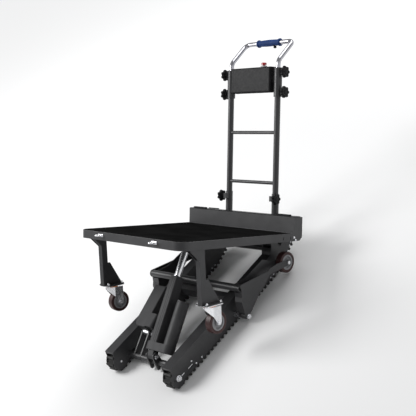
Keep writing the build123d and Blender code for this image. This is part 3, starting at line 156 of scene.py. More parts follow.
def flat_square(name, half):
    """A square grid of one cell on the ground: x and y run from minus half to plus half."""
    corners = [(-half, -half, 0), (half, -half, 0), (half, half, 0), (-half, half, 0)]
    mesh = bpy.data.meshes.new(name)
    mesh.from_pydata(corners, [], [(0, 1, 2, 3)])
    made = bpy.data.objects.new(name, mesh)
    bpy.context.scene.collection.objects.link(made)
    return made


def soft_lamp(name, place, target, size, power):
    """A square lamp at a place of the deck frame, turned to face its target."""
    data = bpy.data.lights.new(name, "AREA")
    data.size = size
    data.energy = power
    lamp = bpy.data.objects.new(name, data)
    start, end = from_deck(place), from_deck(target)
    backward = (start - end) / np.linalg.norm(start - end)
    side = np.cross([0, 0, 1], backward)
    side /= np.linalg.norm(side)
    turned = np.eye(4)
    turned[:3, :3] = np.stack([side, np.cross(backward, side), backward], axis=1)
    turned[:3, 3] = start
    lamp.matrix_world = Matrix(turned.tolist())
    bpy.context.scene.collection.objects.link(lamp)
    return lamp


floor = flat_square("floor", FLOOR_HALF)
floor_paint = bpy.data.materials.new("pale_floor")
floor_paint.use_nodes = True
floor_shader = floor_paint.node_tree.nodes["Principled BSDF"]
floor_shader.inputs["Base Color"].default_value = (0.86, 0.86, 0.86, 1)
floor_shader.inputs["Roughness"].default_value = 0.9
floor_shader.inputs["Emission Color"].default_value = (1, 1, 1, 1)
floor_tree = floor_paint.node_tree
ray = floor_tree.nodes.new("ShaderNodeLightPath")
seen = ray.outputs["Is Camera Ray"]
for kind in ("Is Glossy Ray", "Is Transmission Ray"):
    either = floor_tree.nodes.new("ShaderNodeMath")
    either.operation = "MAXIMUM"
    floor_tree.links.new(seen, either.inputs[0])
    floor_tree.links.new(ray.outputs[kind], either.inputs[1])
    seen = either.outputs["Value"]
floor_places = floor_tree.nodes.new("ShaderNodeTexCoord")
away = floor_tree.nodes.new("ShaderNodeVectorMath")
away.operation = "LENGTH"
floor_tree.links.new(floor_places.outputs["Object"], away.inputs[0])
fade = floor_tree.nodes.new("ShaderNodeMapRange")
fade.interpolation_type = "SMOOTHSTEP"
fade.inputs["From Min"].default_value = FADE_START
fade.inputs["From Max"].default_value = FADE_END
fade.inputs["To Max"].default_value = FADE_GLOW
floor_tree.links.new(away.outputs["Value"], fade.inputs["Value"])
glow = floor_tree.nodes.new("ShaderNodeMath")
glow.operation = "MULTIPLY"
floor_tree.links.new(seen, glow.inputs[0])
floor_tree.links.new(fade.outputs["Result"], glow.inputs[1])
floor_tree.links.new(glow.outputs["Value"], floor_shader.inputs["Emission Strength"])
floor.data.materials.append(floor_paint)

world = bpy.data.worlds.new("soft_room")
world.use_nodes = True
world.node_tree.nodes["Background"].inputs["Color"].default_value = (0.93, 0.94, 0.95, 1)
world.node_tree.nodes["Background"].inputs["Strength"].default_value = 0.40
bpy.context.scene.world = world

LAMP_TARGET = (0, -300, 100)
soft_lamp("key_lamp", (-2400, -3200, 1500), LAMP_TARGET, 2.0, 130)
soft_lamp("fill_lamp", (3600, -1500, 1500), LAMP_TARGET, 2.0, 10)
soft_lamp("top_lamp", (300, 300, 3900), LAMP_TARGET, 2.6, 70)
print("floor", FLOOR_HALF * 2, "m wide, 3 lamps")

# %% [markdown]
# ## Finishes
# A real surface is never one flat colour. Each finish here mixes two close colours by a slow noise, varies
# its gloss by a second noise and raises a fine bump, all on Object coordinates, so the pattern has a real
# size in metres and stays on its piece.

# %% One recipe for all finishes


def finish(name, dark, light, patch, gloss, grain, bump, metal=0.0, coat=0.0, stretch=(1, 1, 1), shine=0.5):
    """Mix two colours by noise of patch waves a metre, map finer noise to gloss and grain waves to bump."""
    made = bpy.data.materials.new(name)
    made.use_nodes = True
    tree = made.node_tree
    shader = tree.nodes["Principled BSDF"]
    shader.inputs["Metallic"].default_value = metal
    shader.inputs["Coat Weight"].default_value = coat
    shader.inputs["Specular IOR Level"].default_value = shine
    places = tree.nodes.new("ShaderNodeTexCoord")
    scaled = tree.nodes.new("ShaderNodeMapping")
    scaled.inputs["Scale"].default_value = stretch
    tree.links.new(places.outputs["Object"], scaled.inputs["Vector"])

    def noise(waves, detail):
        node = tree.nodes.new("ShaderNodeTexNoise")
        node.inputs["Scale"].default_value = waves
        node.inputs["Detail"].default_value = detail
        tree.links.new(scaled.outputs["Vector"], node.inputs["Vector"])
        return node.outputs["Fac"]

    colours = tree.nodes.new("ShaderNodeValToRGB")
    colours.color_ramp.elements[0].position = 0.35
    colours.color_ramp.elements[0].color = (*dark, 1)
    colours.color_ramp.elements[1].position = 0.68
    colours.color_ramp.elements[1].color = (*light, 1)
    tree.links.new(noise(patch, 8.0), colours.inputs["Fac"])
    tree.links.new(colours.outputs["Color"], shader.inputs["Base Color"])
    sheen = tree.nodes.new("ShaderNodeMapRange")
    sheen.inputs["From Min"].default_value = 0.3
    sheen.inputs["From Max"].default_value = 0.7
    sheen.inputs["To Min"].default_value = gloss[0]
    sheen.inputs["To Max"].default_value = gloss[1]
    tree.links.new(noise(patch * 5, 4.0), sheen.inputs["Value"])
    tree.links.new(sheen.outputs["Result"], shader.inputs["Roughness"])
    raised = tree.nodes.new("ShaderNodeBump")
    raised.inputs["Strength"].default_value = bump
    raised.inputs["Distance"].default_value = 0.001
    tree.links.new(noise(grain, 2.0), raised.inputs["Height"])
    tree.links.new(raised.outputs["Normal"], shader.inputs["Normal"])
    return made


# %% [markdown]
# ## The truck's own finishes
# Steel sheet wears a satin black powder coat with a faint orange peel. Belts and deck mat are rubber; the
# mat is darker than rubber and has no shine, which paints the shadow of a load on the deck. The tyres are
# dark red brown polyurethane on grey nylon hubs, and rods, handle and casters are bright metal.

# %% Make the finishes and give each imported node its own
finishes = {
    "powder_coat": finish(
        "powder_coat", (0.028, 0.028, 0.030), (0.039, 0.039, 0.041), 5, (0.32, 0.44), 700, 0.10),
    "belt_rubber": finish(
        "belt_rubber", (0.011, 0.011, 0.011), (0.022, 0.022, 0.021), 14, (0.62, 0.80), 420, 0.30),
    "rail_plastic": finish(
        "rail_plastic", (0.050, 0.050, 0.050), (0.070, 0.070, 0.068), 20, (0.4, 0.55), 300, 0.1),
    "drum_iron": finish(
        "drum_iron", (0.030, 0.030, 0.031), (0.055, 0.055, 0.056), 25, (0.45, 0.65), 350, 0.35),
    "motor_black": finish(
        "motor_black", (0.040, 0.040, 0.042), (0.052, 0.052, 0.054), 9, (0.46, 0.56), 900, 0.08, shine=0.3),
    "actuator_black": finish(
        "actuator_black", (0.034, 0.034, 0.036), (0.047, 0.047, 0.049), 12, (0.50, 0.60), 900, 0.06,
        stretch=(1, 0.2, 0.2), shine=0.25),
    "chrome": finish("chrome", (0.40, 0.40, 0.43), (0.48, 0.48, 0.51), 10, (0.14, 0.22), 250, 0.02, 1.0),
    "zinc": finish("zinc", (0.86, 0.87, 0.90), (0.95, 0.95, 0.97), 60, (0.20, 0.30), 500, 0.04, 1.0),
    "tyre_brown": finish(
        "tyre_brown", (0.036, 0.014, 0.014), (0.054, 0.022, 0.021), 30, (0.36, 0.50), 500, 0.10, shine=0.35),
    "hub_grey": finish("hub_grey", (0.21, 0.21, 0.22), (0.27, 0.27, 0.28), 40, (0.42, 0.55), 800, 0.10),
    "seal_orange": finish("seal_orange", (0.55, 0.15, 0.02), (0.66, 0.20, 0.03), 50, (0.45, 0.6), 600, 0.10),
    # The mat's near-black colours and its shine of 0 are partly black rubber and partly painted shadow of a
    # load on the deck.
    "mat_rubber": finish(
        "mat_rubber", (0.007, 0.007, 0.007), (0.012, 0.012, 0.012), 8, (0.60, 0.80), 320, 0.35, shine=0.0),
    "black_plastic": finish(
        "black_plastic", (0.007, 0.007, 0.008), (0.012, 0.012, 0.013), 20, (0.40, 0.52), 1100, 0.14,
        shine=0.15),
    "battery_case": finish(
        "battery_case", (0.06, 0.06, 0.065), (0.08, 0.08, 0.085), 10, (0.45, 0.6), 800, 0.12),
    "stop_red": finish(
        "stop_red", (0.34, 0.004, 0.007), (0.42, 0.008, 0.010), 30, (0.22, 0.32), 400, 0.04, 0, 0.3),
    "stop_grey": finish("stop_grey", (0.42, 0.42, 0.43), (0.50, 0.50, 0.51), 40, (0.4, 0.55), 800, 0.08),
    "grip_blue": finish(
        "grip_blue", (0.012, 0.034, 0.125), (0.017, 0.048, 0.165), 30, (0.48, 0.62), 900, 0.20, shine=0.15),
}
BRIGHT_RODS = ("tilt_rod", "lift_rod")
for part in frame["record"]["subparts"]:
    packed = nodes[part["node"]].data
    packed.materials.clear()
    slot = "zinc" if part["node"] in BRIGHT_RODS else part["material_slot"]
    packed.materials.append(finishes[slot])
print(len(finishes), "finishes")

# %% [markdown]
# ## Surfaces from grids
# Round pieces are worked out as grids of points: a profile is carried round a line, and neighbouring places
# of the grid make the faces. Places that fall together, at a seam or a pole, are merged, so each piece is
# closed.

# %% Grid helpers


def grid_faces(rows, columns, first):
    """Quads between neighbouring places of a grid whose first place has the given number."""
    index = first + np.arange(rows * columns).reshape(rows, columns)
    quads = [index[:-1, :-1], index[1:, :-1], index[1:, 1:], index[:-1, 1:]]
    return np.stack(quads, axis=-1).reshape(-1, 4)


def piece(name, grids, slot, body, replaced=(), sharp=35.0):
    """Join grids of points, in metres, into one smooth mesh that rides on a body."""
    faces = []
    first = 0
    for grid in grids:
        faces.append(grid_faces(*grid.shape[:2], first))
        first += grid.shape[0] * grid.shape[1]
    mesh = bpy.data.meshes.new(name)
    places = np.vstack([grid.reshape(-1, 3) for grid in grids])
    mesh.from_pydata(places.tolist(), [], np.vstack(faces).tolist())
    work = bmesh.new()
    work.from_mesh(mesh)
    bmesh.ops.remove_doubles(work, verts=work.verts, dist=2e-6)
    bmesh.ops.dissolve_degenerate(work, edges=work.edges, dist=1e-6)
    bmesh.ops.recalc_face_normals(work, faces=work.faces)
    work.to_mesh(mesh)
    work.free()
    mesh.shade_smooth()
    mesh.set_sharp_from_angle(angle=math.radians(sharp))
    mesh.materials.append(finishes[slot])
    made = bpy.data.objects.new(name, mesh)
    bpy.context.scene.collection.objects.link(made)
    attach(made, body)
    if replaced:
        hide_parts(*replaced)
    print(name, len(mesh.polygons), "faces")
    return made


def eased(corners, radius, steps=5):
    """Round a profile's corners: each gives way to (1-t)^2 A + 2 t (1-t) P + t^2 B between its two sides."""
    p = np.asarray(corners, float)
    before, after = p[:-2] - p[1:-1], p[2:] - p[1:-1]
    long_before = np.linalg.norm(before, axis=1, keepdims=True)
    long_after = np.linalg.norm(after, axis=1, keepdims=True)
    cut = np.minimum(radius, 0.5 * np.minimum(long_before, long_after))
    a = (p[1:-1] + before / long_before * cut)[:, None]
    b = (p[1:-1] + after / long_after * cut)[:, None]
    t = np.linspace(0, 1, steps)[None, :, None]
    curves = (1 - t) ** 2 * a + 2 * t * (1 - t) * p[1:-1, None] + t ** 2 * b
    return np.vstack([p[:1], curves.reshape(-1, 2), p[-1:]])


def turned(profile, segments=40):
    """Carry (along, radius) pairs round the x axis: y is radius times cosine, z is radius times sine."""
    along, radius = np.asarray(profile, float).T
    turn = np.linspace(0, 2 * math.pi, segments + 1)[:, None]
    along = np.broadcast_to(along, (segments + 1, len(along)))
    return np.stack([along, radius * np.cos(turn), radius * np.sin(turn)], axis=-1)


def upright(grid):
    """Turn a grid so that its x axis points up."""
    return grid[..., [1, 2, 0]]


def mirrored(grid, side):
    """Keep a right side's grid, or change the sign of x for the left."""
    return grid * [side, 1, 1]


def pillow(half_x, half_z, height, edge, corner=5.0):
    """Rounded box outline (|cos|^n + |sin|^n)^(-1/n), drawn in over its edge as a quarter circle in y."""
    turn = np.linspace(0, 2 * math.pi, 65)[:, None]
    cosine, sine = np.cos(turn), np.sin(turn)
    reach = (np.abs(cosine) ** corner + np.abs(sine) ** corner) ** (-1 / corner)
    bend = np.linspace(0, np.pi / 2, 7)
    inset = np.concatenate([[0.0], edge * (1 - np.cos(bend)), [min(half_x, half_z)]])
    rise = np.concatenate([[-1.0], height - edge + edge * np.sin(bend), [height]])
    x = (half_x - np.minimum(inset, half_x)) * reach * cosine
    z = (half_z - np.minimum(inset, half_z)) * reach * sine
    x[:, -1], z[:, -1] = 0, 0
    return np.stack([x, np.broadcast_to(rise, x.shape), z], axis=-1)


# %% [markdown]
# ## Wheels
# Each wheel is a polyurethane tyre cast onto a nylon hub. The tyre's profile has a flat tread and small
# round shoulders. The hub has a broad rim, a dish and a boss with a steel bearing ring.

# %% Tyres, hubs and bearing rings
WHEEL_RADIUS, HUB_RADIUS, BORE = 53.0, 38.0, 6.1
WHEEL_HALF = 17.0


def there_and_back(half_profile):
    """A closed profile from its left half: its mirror image follows in reverse, and the start comes last."""
    left = np.asarray(half_profile, float)
    right = left[::-1] * [-1, 1]
    return np.vstack([left, right, left[:1]])


def tyre_profile(half):
    """Side, shoulder and tread as (along, radius)."""
    return eased(there_and_back([
        (-half, HUB_RADIUS), (-half, 49.6), (-half + 1.0, 51.9), (-half + 3.6, WHEEL_RADIUS)]), 1.5)


def hub_profile(half):
    """Boss, dish and rim as (along, radius)."""
    return eased(there_and_back([
        (-half, BORE), (-half, 13.8), (-half + 1.0, 15.0), (-half + 8.6, 16.5), (-half + 9.0, 28.0),
        (-half + 1.4, 30.4), (-half, 31.6), (-half, HUB_RADIUS)]), 1.4)


def ring_profile(half):
    """A thin bearing ring proud of the boss, as (along, radius)."""
    inner, outer, proud = BORE + 1, 11.5, half + 0.8
    return eased([(-half, inner), (-proud, inner), (-proud, outer), (-half, outer), (-half, inner)], 0.3)


def wheel(name, body, carry, centre):
    """A tyre, its hub and a bearing ring at each end, turned round a centre and carried to the frame."""
    half = WHEEL_HALF
    tyre = carry(turned(tyre_profile(half), 72) + centre)
    hub = carry(turned(hub_profile(half), 60) + centre)
    piece(f"{name}_tyre_cast", [tyre], "tyre_brown", body, [f"{name}_tyre"])
    piece(f"{name}_hub_dished", [hub], "hub_grey", body, [f"{name}_hub"])
    rings = [turned(ring_profile(half), 36) * [end, 1, 1] + centre for end in (1, -1)]
    piece(f"{name}_bearing_rings", [carry(ring) for ring in rings], "zinc", body)


AXLE_Y, AXLE_Z = 35.0, -348.0
for word, side in SIDES.items():
    wheel(f"{word}_rear", f"{word}_rear_wheel", from_track, (side * 302.0, 815.0, 67.5))
    axle = (0.0, AXLE_Y, AXLE_Z)
    wheel(f"{word}_caster", f"{word}_caster_wheel", lambda grid: from_caster(grid, word), axle)

# %% [markdown]
# ## Star knobs
# A star knob is a profile turned round its stud, whose radius swells and shrinks seven times on the way
# round. The swelling fades out on the neck and on the face's middle, so one grid makes stud, neck, lobes
# and face.

# %% Six star knobs
KNOB_LOBES = 7
KNOB_VALLEY = 0.25
KNOB_PROFILE = np.array([
    (-10.0, 0.0, 0.0), (-10.0, 3.4, 0.0), (-9.4, 4.0, 0.0), (0.0, 4.0, 0.0), (0.0, 11.2, 0.0),
    (0.6, 12.0, 0.0), (4.0, 11.6, 0.0), (7.0, 12.6, 0.1), (8.4, 18.5, 0.5), (8.8, 23.5, 0.9),
    (9.8, 27.6, 1.0), (11.8, 30.2, 1.0), (14.2, 31.0, 1.0), (21.0, 31.0, 1.0), (24.0, 30.2, 1.0),
    (26.0, 27.8, 1.0), (27.2, 24.4, 0.9), (27.7, 20.0, 0.7), (27.2, 17.0, 0.35), (26.2, 15.0, 0.1),
    (26.2, 11.6, 0.0), (27.6, 11.0, 0.0), (28.0, 9.4, 0.0), (28.0, 0.0, 0.0)])
KNOBS = {"base": (60.0, 220.0, 177.0), "middle": (88.5, 765.0, 194.0), "top": (88.5, 867.0, 194.0)}


def star_knob():
    """Radius times 1 - lobing * valley * (1 - f), where f is (half + half cos 7t) to the power 0.6."""
    along, radius, lobing = KNOB_PROFILE.T
    turn = np.linspace(0, 2 * math.pi, KNOB_LOBES * 18 + 1)[:, None]
    swell = np.clip(0.5 + 0.5 * np.cos(KNOB_LOBES * turn), 0, 1) ** 0.6
    reach = radius * (1 - lobing * KNOB_VALLEY * (1 - swell))
    along = np.broadcast_to(along, reach.shape)
    return np.stack([along, reach * np.cos(turn), reach * np.sin(turn)], axis=-1)


for level, (y, z, start) in KNOBS.items():
    for word, side in SIDES.items():
        node = f"{word}_{level}_knob"
        grid = mirrored(star_knob() + [start, y, z], side)
        piece(f"{node}_star", [from_deck(grid)], "black_plastic", node, [node], 50)

# %% [markdown]
# ## Handle grip
# The soft grip swells at its middle, narrows beside its two end collars and has a pocket below for the
# button. Its radius is a function of the place along the bar and of the angle round it.

# %% Grip with end collars and a button pocket
BAR_Y, BAR_Z = 202.0, 1036.0
GRIP_HALF, GRIP_BORE = 80.0, 12.5
BUTTON_X, BUTTON_POCKET, POCKET_FLARE = 39.0, 8.8, 0.70


def grip_radius(x):
    """16.4 plus a swell of 1.6 cos^2 on the body, and collars of 20.5 that fall off as a fourth power."""
    body = 16.4 + 1.6 * np.cos(np.pi * np.clip(x / 132.0, -0.5, 0.5)) ** 2
    place = np.clip((np.abs(x) - 73.8) / 6.2, -1.0, 1.0)
    collar = GRIP_BORE + 8.0 * (1 - place ** 4) ** 0.5
    ribs = 0.22 * (0.5 + 0.5 * np.cos(2 * np.pi * x / 6.0)) * (np.abs(x) < 64.0)
    return np.where(np.abs(x) > 67.6, collar, body - ribs)


def grip():
    """The skin's grid, closed through the bore: in the flared pocket the radius drops to near the tube."""
    x = np.linspace(-GRIP_HALF, GRIP_HALF, 289)
    turn = np.linspace(0, 2 * math.pi, 109)[:, None]
    radius = np.broadcast_to(np.maximum(grip_radius(x), GRIP_BORE), (len(turn), len(x)))
    away = np.hypot(x - BUTTON_X, POCKET_FLARE * radius * np.cos(turn))
    inside = np.clip((BUTTON_POCKET - away) / 0.5, 0, 1) * (np.sin(turn) < 0)
    radius = radius - inside * (radius - 13.0)
    skin = np.stack([np.broadcast_to(x, radius.shape), radius * np.cos(turn), radius * np.sin(turn)], axis=-1)
    bore = turned([(GRIP_HALF, GRIP_BORE), (-GRIP_HALF, GRIP_BORE)], 108)
    return np.concatenate([skin, bore, skin[:, :1]], axis=1) + [0, BAR_Y, BAR_Z]


piece("handle_grip_soft", [from_deck(grip())], "grip_blue", "handle", ["handle_grip"], 60)

# %% [markdown]
# ## Caster forks
# A caster's fork is pressed from sheet. Seen from above, its two cheeks run straight beside the wheel and
# then bend in to a nose at the front; seen from the side, their lower edge climbs from the axle to the
# nose. Each side is one grid of heights by places along it, with an outer and an inner face.

# %% Forks with cheeks, crown and axle bolt
CROWN_TOP, KINGPIN_TOP = -268.5, -253.0
FORK_FRONT, FORK_REAR, FORK_NOSE, NOSE_HALF = 4.0, 51.0, -36.0, 5.0
FORK_INNER, FORK_OUTER = 19.5, 22.5
LOWER_EDGE = np.array([
    (-36.0, -279.0), (4.0, -318.0), (23.0, -346.0), (30.0, -359.0), (45.0, -357.0), (51.0, -345.0)])


def fork_half_width(y, outer):
    """The cheek's place beside the wheel, less the way in to the nose times the share of its length."""
    share = np.clip((FORK_FRONT - y) / (FORK_FRONT - FORK_NOSE), 0, 1)
    return outer - (FORK_OUTER - NOSE_HALF) * share


def cheek(out):
    """Heights run from the crown to the lower edge along an inner and an outer face."""
    y = np.linspace(FORK_NOSE, FORK_REAR, 61)[None, :]
    share = np.linspace(0, 1, 33)[:, None]
    z = CROWN_TOP + share * (np.interp(y, *LOWER_EDGE.T) - CROWN_TOP)
    y = np.broadcast_to(y, z.shape)
    faces = [np.stack([fork_half_width(y, width), y, z], axis=-1) for width in (FORK_INNER, FORK_OUTER)]
    loop = np.concatenate([faces[1], faces[0][:, ::-1], faces[1][:, :1]], axis=1)
    cap = np.concatenate([faces[0], faces[0][:, ::-1], faces[0][:, :1]], axis=1)
    return np.concatenate([cap[:1], loop, cap[-1:]]) * [out, 1, 1]


def crown():
    """The outline of both cheeks drawn in to the swivel line above and below, with a soft upper edge."""
    y = np.linspace(FORK_REAR, FORK_NOSE, 46)
    x = fork_half_width(y, FORK_OUTER)
    right = np.stack([x, y], axis=-1)
    outline = np.vstack([right, right[::-1] * [-1, 1], right[:1]])[:, None]
    size = np.array([0.0, 0.95, 0.985, 1.0, 1.0, 0.0])[None, :, None]
    height = np.array([0.0, 0.0, -0.5, -1.5, -3.0, -3.0])
    flat = outline * size
    level = np.broadcast_to(CROWN_TOP + height[None, :, None], (*flat.shape[:2], 1))
    return np.concatenate([flat, level], axis=-1)


def hex_prism(size, x0, x1, chamfer=1.0):
    """Six flat sides between two chamfered ends, closed at both poles."""
    slope = chamfer * 0.6
    near = [(x0, 0), (x0, size - chamfer), (x0 + slope, size)]
    far = [(x1 - slope, size), (x1, size - chamfer), (x1, 0)]
    return turned(near + far, 6)


for word in SIDES:
    bolt = [hex_prism(10.0, FORK_OUTER, FORK_OUTER + 5.2), hex_prism(10.0, -FORK_OUTER - 5.2, -FORK_OUTER)]
    bolt.append(turned(eased([(-28.2, 0), (-28.2, 6), (28.2, 6), (28.2, 0)], 1.0), 28))
    pin_foot = CROWN_TOP - 3
    kingpin = upright(turned([(pin_foot, 0), (pin_foot, 8), (KINGPIN_TOP, 8), (KINGPIN_TOP, 0)], 28))
    grids = [cheek(1), cheek(-1), crown(), kingpin] + [part + [0, AXLE_Y, AXLE_Z] for part in bolt]
    placed_grids = [from_caster(grid, word) for grid in grids]
    piece(f"{word}_fork_pressed", placed_grids, "zinc", f"{word}_caster", [f"{word}_caster_fork"], 30)

# %% Seals between the caster plates and the forks
SEAL = eased([
    (-267.6, 22.4), (-267.6, 29.0), (-264.0, 30.0), (-260.4, 29.0), (-260.4, 22.4), (-267.6, 22.4)], 1.2)
seals = [upright(turned(SEAL, 48)) + [side * LEG_X, SWIVEL_Y, 0.0] for side in SIDES.values()]
piece("bearing_seal_rings", [from_leg(grid) for grid in seals], "seal_orange", "platform", ["bearing_seals"])

# %% [markdown]
# ## Bolts and nuts
# Button head bolts hold the rails and covers to the beams. Each is a dome with a hexagon socket, small
# enough that few faces do. The actuators' pins have hexagon heads, and the adjusters beside the front axles
# are plain screws.

# %% Bolt heads along the beams and the foot bolts
BEAM_INSIDE, BEAM_OUTSIDE = 182.0, 242.0
OUTER_BOLTS = (
    (100, 58), (117, 28), (160, 26), (640, 26), (737, 23), (763, 22), (939, 66), (956, 77), (985, 96))
INNER_BOLTS = ((160, 26), (640, 26), (737, 22), (763, 22), (905, 80))
FOOT_BOLTS = ((15.0, 57.0, 75.0), (-110.0, 168.0, 97.0))


def button_head(radius, height):
    """A dome from the plate to its flat top, then down a hexagon socket of half the radius."""
    dome = [(-0.5, 0), (-0.5, radius), (0.25 * height, radius)]
    dome += [(0.7 * height, 0.86 * radius), (height, 0.6 * radius)]
    socket = [(height, 0.48 * radius), (0.45 * height, 0.46 * radius), (0.4 * height, 0)]
    return turned(dome + socket, 12)


def along_beams(places, plate, out):
    """Heads on both beams' plates: x goes outwards from the plate, or inwards where out is negative."""
    head = button_head(5.0, 3.5) * [out, 1, 1]
    heads = [head + [plate, y, z] for y, z in places]
    return [mirrored(grid, side) for grid in heads for side in SIDES.values()]


foot_bolts = []
for place in FOOT_BOLTS:
    foot_bolts += [hex_prism(12.0, 27.0, 34.0) + place, hex_prism(12.0, -34.0, -27.0) + place]
    foot_bolts.append(turned(eased([(-36.0, 0), (-36.0, 8), (36.0, 8), (36.0, 0)], 1.0), 24) + place)
heads = along_beams(OUTER_BOLTS, BEAM_OUTSIDE, 1) + along_beams(INNER_BOLTS, BEAM_INSIDE, -1)
piece("chassis_bolt_heads", [from_track(g) for g in heads + foot_bolts], "zinc", "chassis", ["chassis_bolts"])

# %% Screws in the beams' noses and the nuts of the lift lever's pin
NOSE_SCREW = (-28.0, 53.0)
LEVER_PIN = (-110.0, 411.0, 173.0)
screws = [mirrored(button_head(5.0, 3.0) + [BEAM_OUTSIDE, *NOSE_SCREW], side) for side in SIDES.values()]
piece("nose_screws", [from_track(grid) for grid in screws], "drum_iron", "chassis")
nuts = [hex_prism(9.0, 27.0, 33.0) + LEVER_PIN, hex_prism(9.0, -33.0, -27.0) + LEVER_PIN]
piece("lever_pin_nuts", [from_track(grid) for grid in nuts], "zinc", "lift_arms")

# %% Belt adjusters and the box's side bolts
ADJUSTER = eased([(66.0, 0), (66.0, 4.0), (100.0, 4.0), (100.0, 0)], 1.0)
STAY = eased([(15.0, 0), (15.0, 2.4), (35.0, 2.4), (35.0, 0)], 0.8)
BOX_BOLTS = ((-5.0, 43.0), (7.0, 29.0))


def along_y(profile, x, z):
    """A turned profile whose line runs along y at the given x and z."""
    return turned(profile, 16)[..., [1, 0, 2]] + [x, 0, z]


adjusters = [mirrored(along_y(ADJUSTER, 236.0, 38.5), side) for side in SIDES.values()]
adjusters += [mirrored(along_y(STAY, 245.0, 47.0), side) for side in SIDES.values()]
piece("belt_adjusters", [from_track(grid) for grid in adjusters], "zinc", "chassis")
heads = [button_head(6.0, 4.0) + [378.0, y, z] for y, z in BOX_BOLTS]
box_bolts = [mirrored(grid, side) for grid in heads for side in SIDES.values()]
piece("box_side_bolts", [from_deck(grid) for grid in box_bolts], "zinc", "platform")

# %% [markdown]
# ## Tilt actuator
# The guide tube is an extrusion: two shallow lines run down its front, and a bright wiper ring closes its
# end round the rod. A line is a flat strip a little proud of the tube, and the ring is a turned profile.

# %% Lines on the guide tube and the wiper ring
TUBE_START, TUBE_END, TUBE_FACE = 66.0, 400.0, 25.0
LINE_PLACES, LINE_HALF, LINE_PROUD = (-1.0, 11.0), 1.0, 0.25
WIPER_END = TUBE_END + 3.5
WIPER = eased([
    (TUBE_END, 17.0), (TUBE_END, 21.5), (WIPER_END, 21.5), (WIPER_END, 17.0), (TUBE_END, 17.0)], 1.0)


def tube_line(x):
    """A closed strip: four corners round its section, carried from the tube's start to its end."""
    low, high = TUBE_FACE - 0.5, TUBE_FACE + LINE_PROUD
    section = [(x - LINE_HALF, low), (x + LINE_HALF, low), (x + LINE_HALF, high), (x - LINE_HALF, high)]
    section.append(section[0])
    along = np.array([TUBE_START, TUBE_START, TUBE_END, TUBE_END])[:, None]
    size = np.array([0.0, 1.0, 1.0, 0.0])[:, None]
    across, up = np.array(section).T
    middle = (low + high) / 2
    grid = [x + size * (across - x), along, middle + size * (up - middle)]
    return np.stack(np.broadcast_arrays(*grid), axis=-1)


lines = [from_tilt(tube_line(x)) for x in LINE_PLACES]
piece("tilt_tube_lines", lines, "black_plastic", "tilt_actuator")
wiper = turned(WIPER, 40)[..., [1, 0, 2]]
piece("tilt_wiper_ring", [from_tilt(wiper)], "zinc", "tilt_actuator")

# %% Long plates of the clevis at its foot
CLEVIS_PLATES = ((-12.3, -4.7), (34.7, 42.3))
CLEVIS_OUTLINE = eased([
    (57.0, 92.3), (43.0, 92.3), (38.0, 66.0), (31.0, 8.0), (47.0, 4.0), (74.0, 60.0), (74.0, 92.3),
    (57.0, 92.3)], 9.0)


def flat_plate(outline, x0, x1):
    """An outline of (y, z) places between two x, drawn in to its middle at both ends so that it closes."""
    outline = np.asarray(outline, float)
    middle = outline.mean(axis=0)
    size = np.array([0.0, 1.0, 1.0, 0.0])[:, None, None]
    along = np.array([x0, x0, x1, x1])[:, None, None]
    spread = middle + size * (outline[None] - middle)
    return np.concatenate([np.broadcast_to(along, (*spread.shape[:2], 1)), spread], axis=-1)


plates = [from_track(flat_plate(CLEVIS_OUTLINE, x0, x1)) for x0, x1 in CLEVIS_PLATES]
piece("tilt_clevis_plates", plates, "powder_coat", "chassis")

# %% [markdown]
# ## Strap eyes
# Two eyes on the front rim take the hooks of a strap. Each is a ring of round bar that lies flat, on a slim
# foot.

# %% Rings on slim feet
EYE_X, EYE_Y, EYE_Z = 197.0, -772.0, 48.25
EYE_BAR, EYE_RADIUS = 3.4, 12.4
RIM_FRONT = -754.0


def eye_ring():
    """A torus: the bar's circle (bar cos s, radius + bar sin s) turned round an upright line."""
    section = np.linspace(0, 2 * math.pi, 17)
    circle = np.stack([EYE_BAR * np.cos(section), EYE_RADIUS + EYE_BAR * np.sin(section)], axis=-1)
    return upright(turned(circle, 48)) + [0, EYE_Y, EYE_Z]


eye_foot = pillow(20, 7, 4.0, 1.5) * [1, -1, 1] + [0, RIM_FRONT, EYE_Z]
eye_grids = [eye_ring(), eye_foot]
eyes = [from_deck(grid + [side * EYE_X, 0, 0]) for side in SIDES.values() for grid in eye_grids]
piece("strap_eye_rings", eyes, "zinc", "platform", ["strap_eyes"])

# %% [markdown]
# ## Weld beads
# Tubes and plates of the frame are welded and then coated. A bead is a thin ring round a tube's end, or a
# thin run along a plate's edge, whose thickness ripples as the weld pool froze.

# %% Beads round the tubes and along the plates
BEAD = 2.4


def ring_bead(x, y, z, radius):
    """A torus round the x direction whose section swells by a tenth with 60 ripples on the way round."""
    turn = np.linspace(0, 2 * math.pi, 181)[:, None]
    section = np.linspace(0, 2 * math.pi, 9)
    thick = BEAD * (1 + 0.1 * np.sin(60 * turn))
    reach = radius + thick * np.cos(section)
    grid = [x + thick * np.sin(section), y + reach * np.cos(turn), z + reach * np.sin(turn)]
    return np.stack(np.broadcast_arrays(*grid), axis=-1)


def straight_bead(start, end):
    """A round run between two places, with ripples every 4 mm and closed ends."""
    start, end = np.asarray(start, float), np.asarray(end, float)
    length = np.linalg.norm(end - start)
    along = (end - start) / length
    side = np.cross(along, [0.3, 0.5, 0.8])
    side /= np.linalg.norm(side)
    share = np.linspace(0, 1, int(length) + 2)[:, None]
    taper = np.sqrt(np.clip(1 - np.abs(2 * share - 1) ** 40, 0, 1))
    thick = BEAD * (1 + 0.1 * np.sin(2 * np.pi * share * length / 4)) * taper
    section = np.linspace(0, 2 * math.pi, 9)
    spread = np.cos(section)[..., None] * side + np.sin(section)[..., None] * np.cross(along, side)
    return start + share[..., None] * (end - start) + thick[..., None] * spread


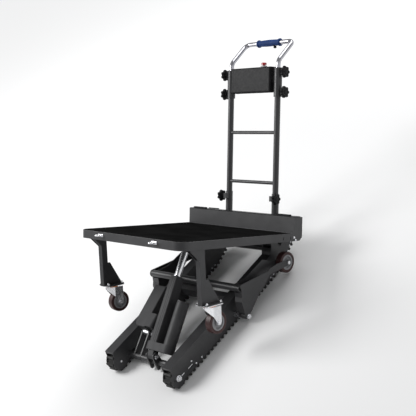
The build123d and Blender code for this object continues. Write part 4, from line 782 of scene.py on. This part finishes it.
ends = [ring_bead(182.0, 60.0, 36.0, 16.0), ring_bead(182.0, 870.0, 95.0, 16.0)]
chassis_beads = [from_track(mirrored(grid, side)) for grid in ends for side in SIDES.values()]
piece("chassis_weld_beads", chassis_beads, "powder_coat", "chassis", (), 80)
arm_beads = [from_track(mirrored(ring_bead(321.0, 485.0, 182.0, 17.5), side)) for side in SIDES.values()]
piece("lift_arm_weld_beads", arm_beads, "powder_coat", "lift_arms", (), 80)
LEG_EDGES = [((344, -641, 24.5), (372, -641, 24.5)), ((344, -608.5, 24.5), (372, -608.5, 24.5)),
             ((344, -640, 24.5), (344, -609.5, 24.5)), ((372, -640, 24.5), (372, -609.5, 24.5))]
leg_beads = [from_deck(mirrored(straight_bead(*edge), side)) for edge in LEG_EDGES for side in SIDES.values()]
piece("leg_weld_beads", leg_beads, "powder_coat", "platform", (), 80)

# %% [markdown]
# ## Control panel
# The person who walks the truck faces the control box's rear side. It carries a pale frame with a rocker
# switch, two push buttons and a row of charge lamps. Each is a pillow: a rounded box outline drawn in
# towards a flat top.

# %% Rocker, buttons and charge lamps on the rear of the control box
PANEL_Y, PANEL_Z = 118.5, 838.0


def on_panel(grid, x, z):
    """A pillow set on the control box's rear face."""
    return from_deck(grid + [x, PANEL_Y, PANEL_Z + z])


piece("control_panel_plate", [on_panel(pillow(104, 36, 2.0, 1.0, 12), 0, 0)], "stop_grey", "platform", (), 60)
panel_black = [on_panel(pillow(13, 19, 6.0, 2.5), -70, 0), on_panel(pillow(22, 22, 3.6, 1.2, 8), 58, 0)]
panel_black.append(on_panel(pillow(34, 7, 3.2, 1.0, 8), -8, 20))
piece("control_switch_bezels", panel_black, "black_plastic", "platform", (), 60)
piece("control_up_button", [on_panel(pillow(15, 7, 8.0, 2.0), 58, 10)], "grip_blue", "platform", (), 60)
piece("control_down_button", [on_panel(pillow(15, 7, 8.0, 2.0), 58, -10)], "grip_blue", "platform", (), 60)
lamps = [on_panel(pillow(4, 3.4, 4.4, 1.0), x, 20) for x in (-32, -20, -8, 4, 16)]
piece("control_charge_lamps", lamps, "seal_orange", "platform", (), 60)
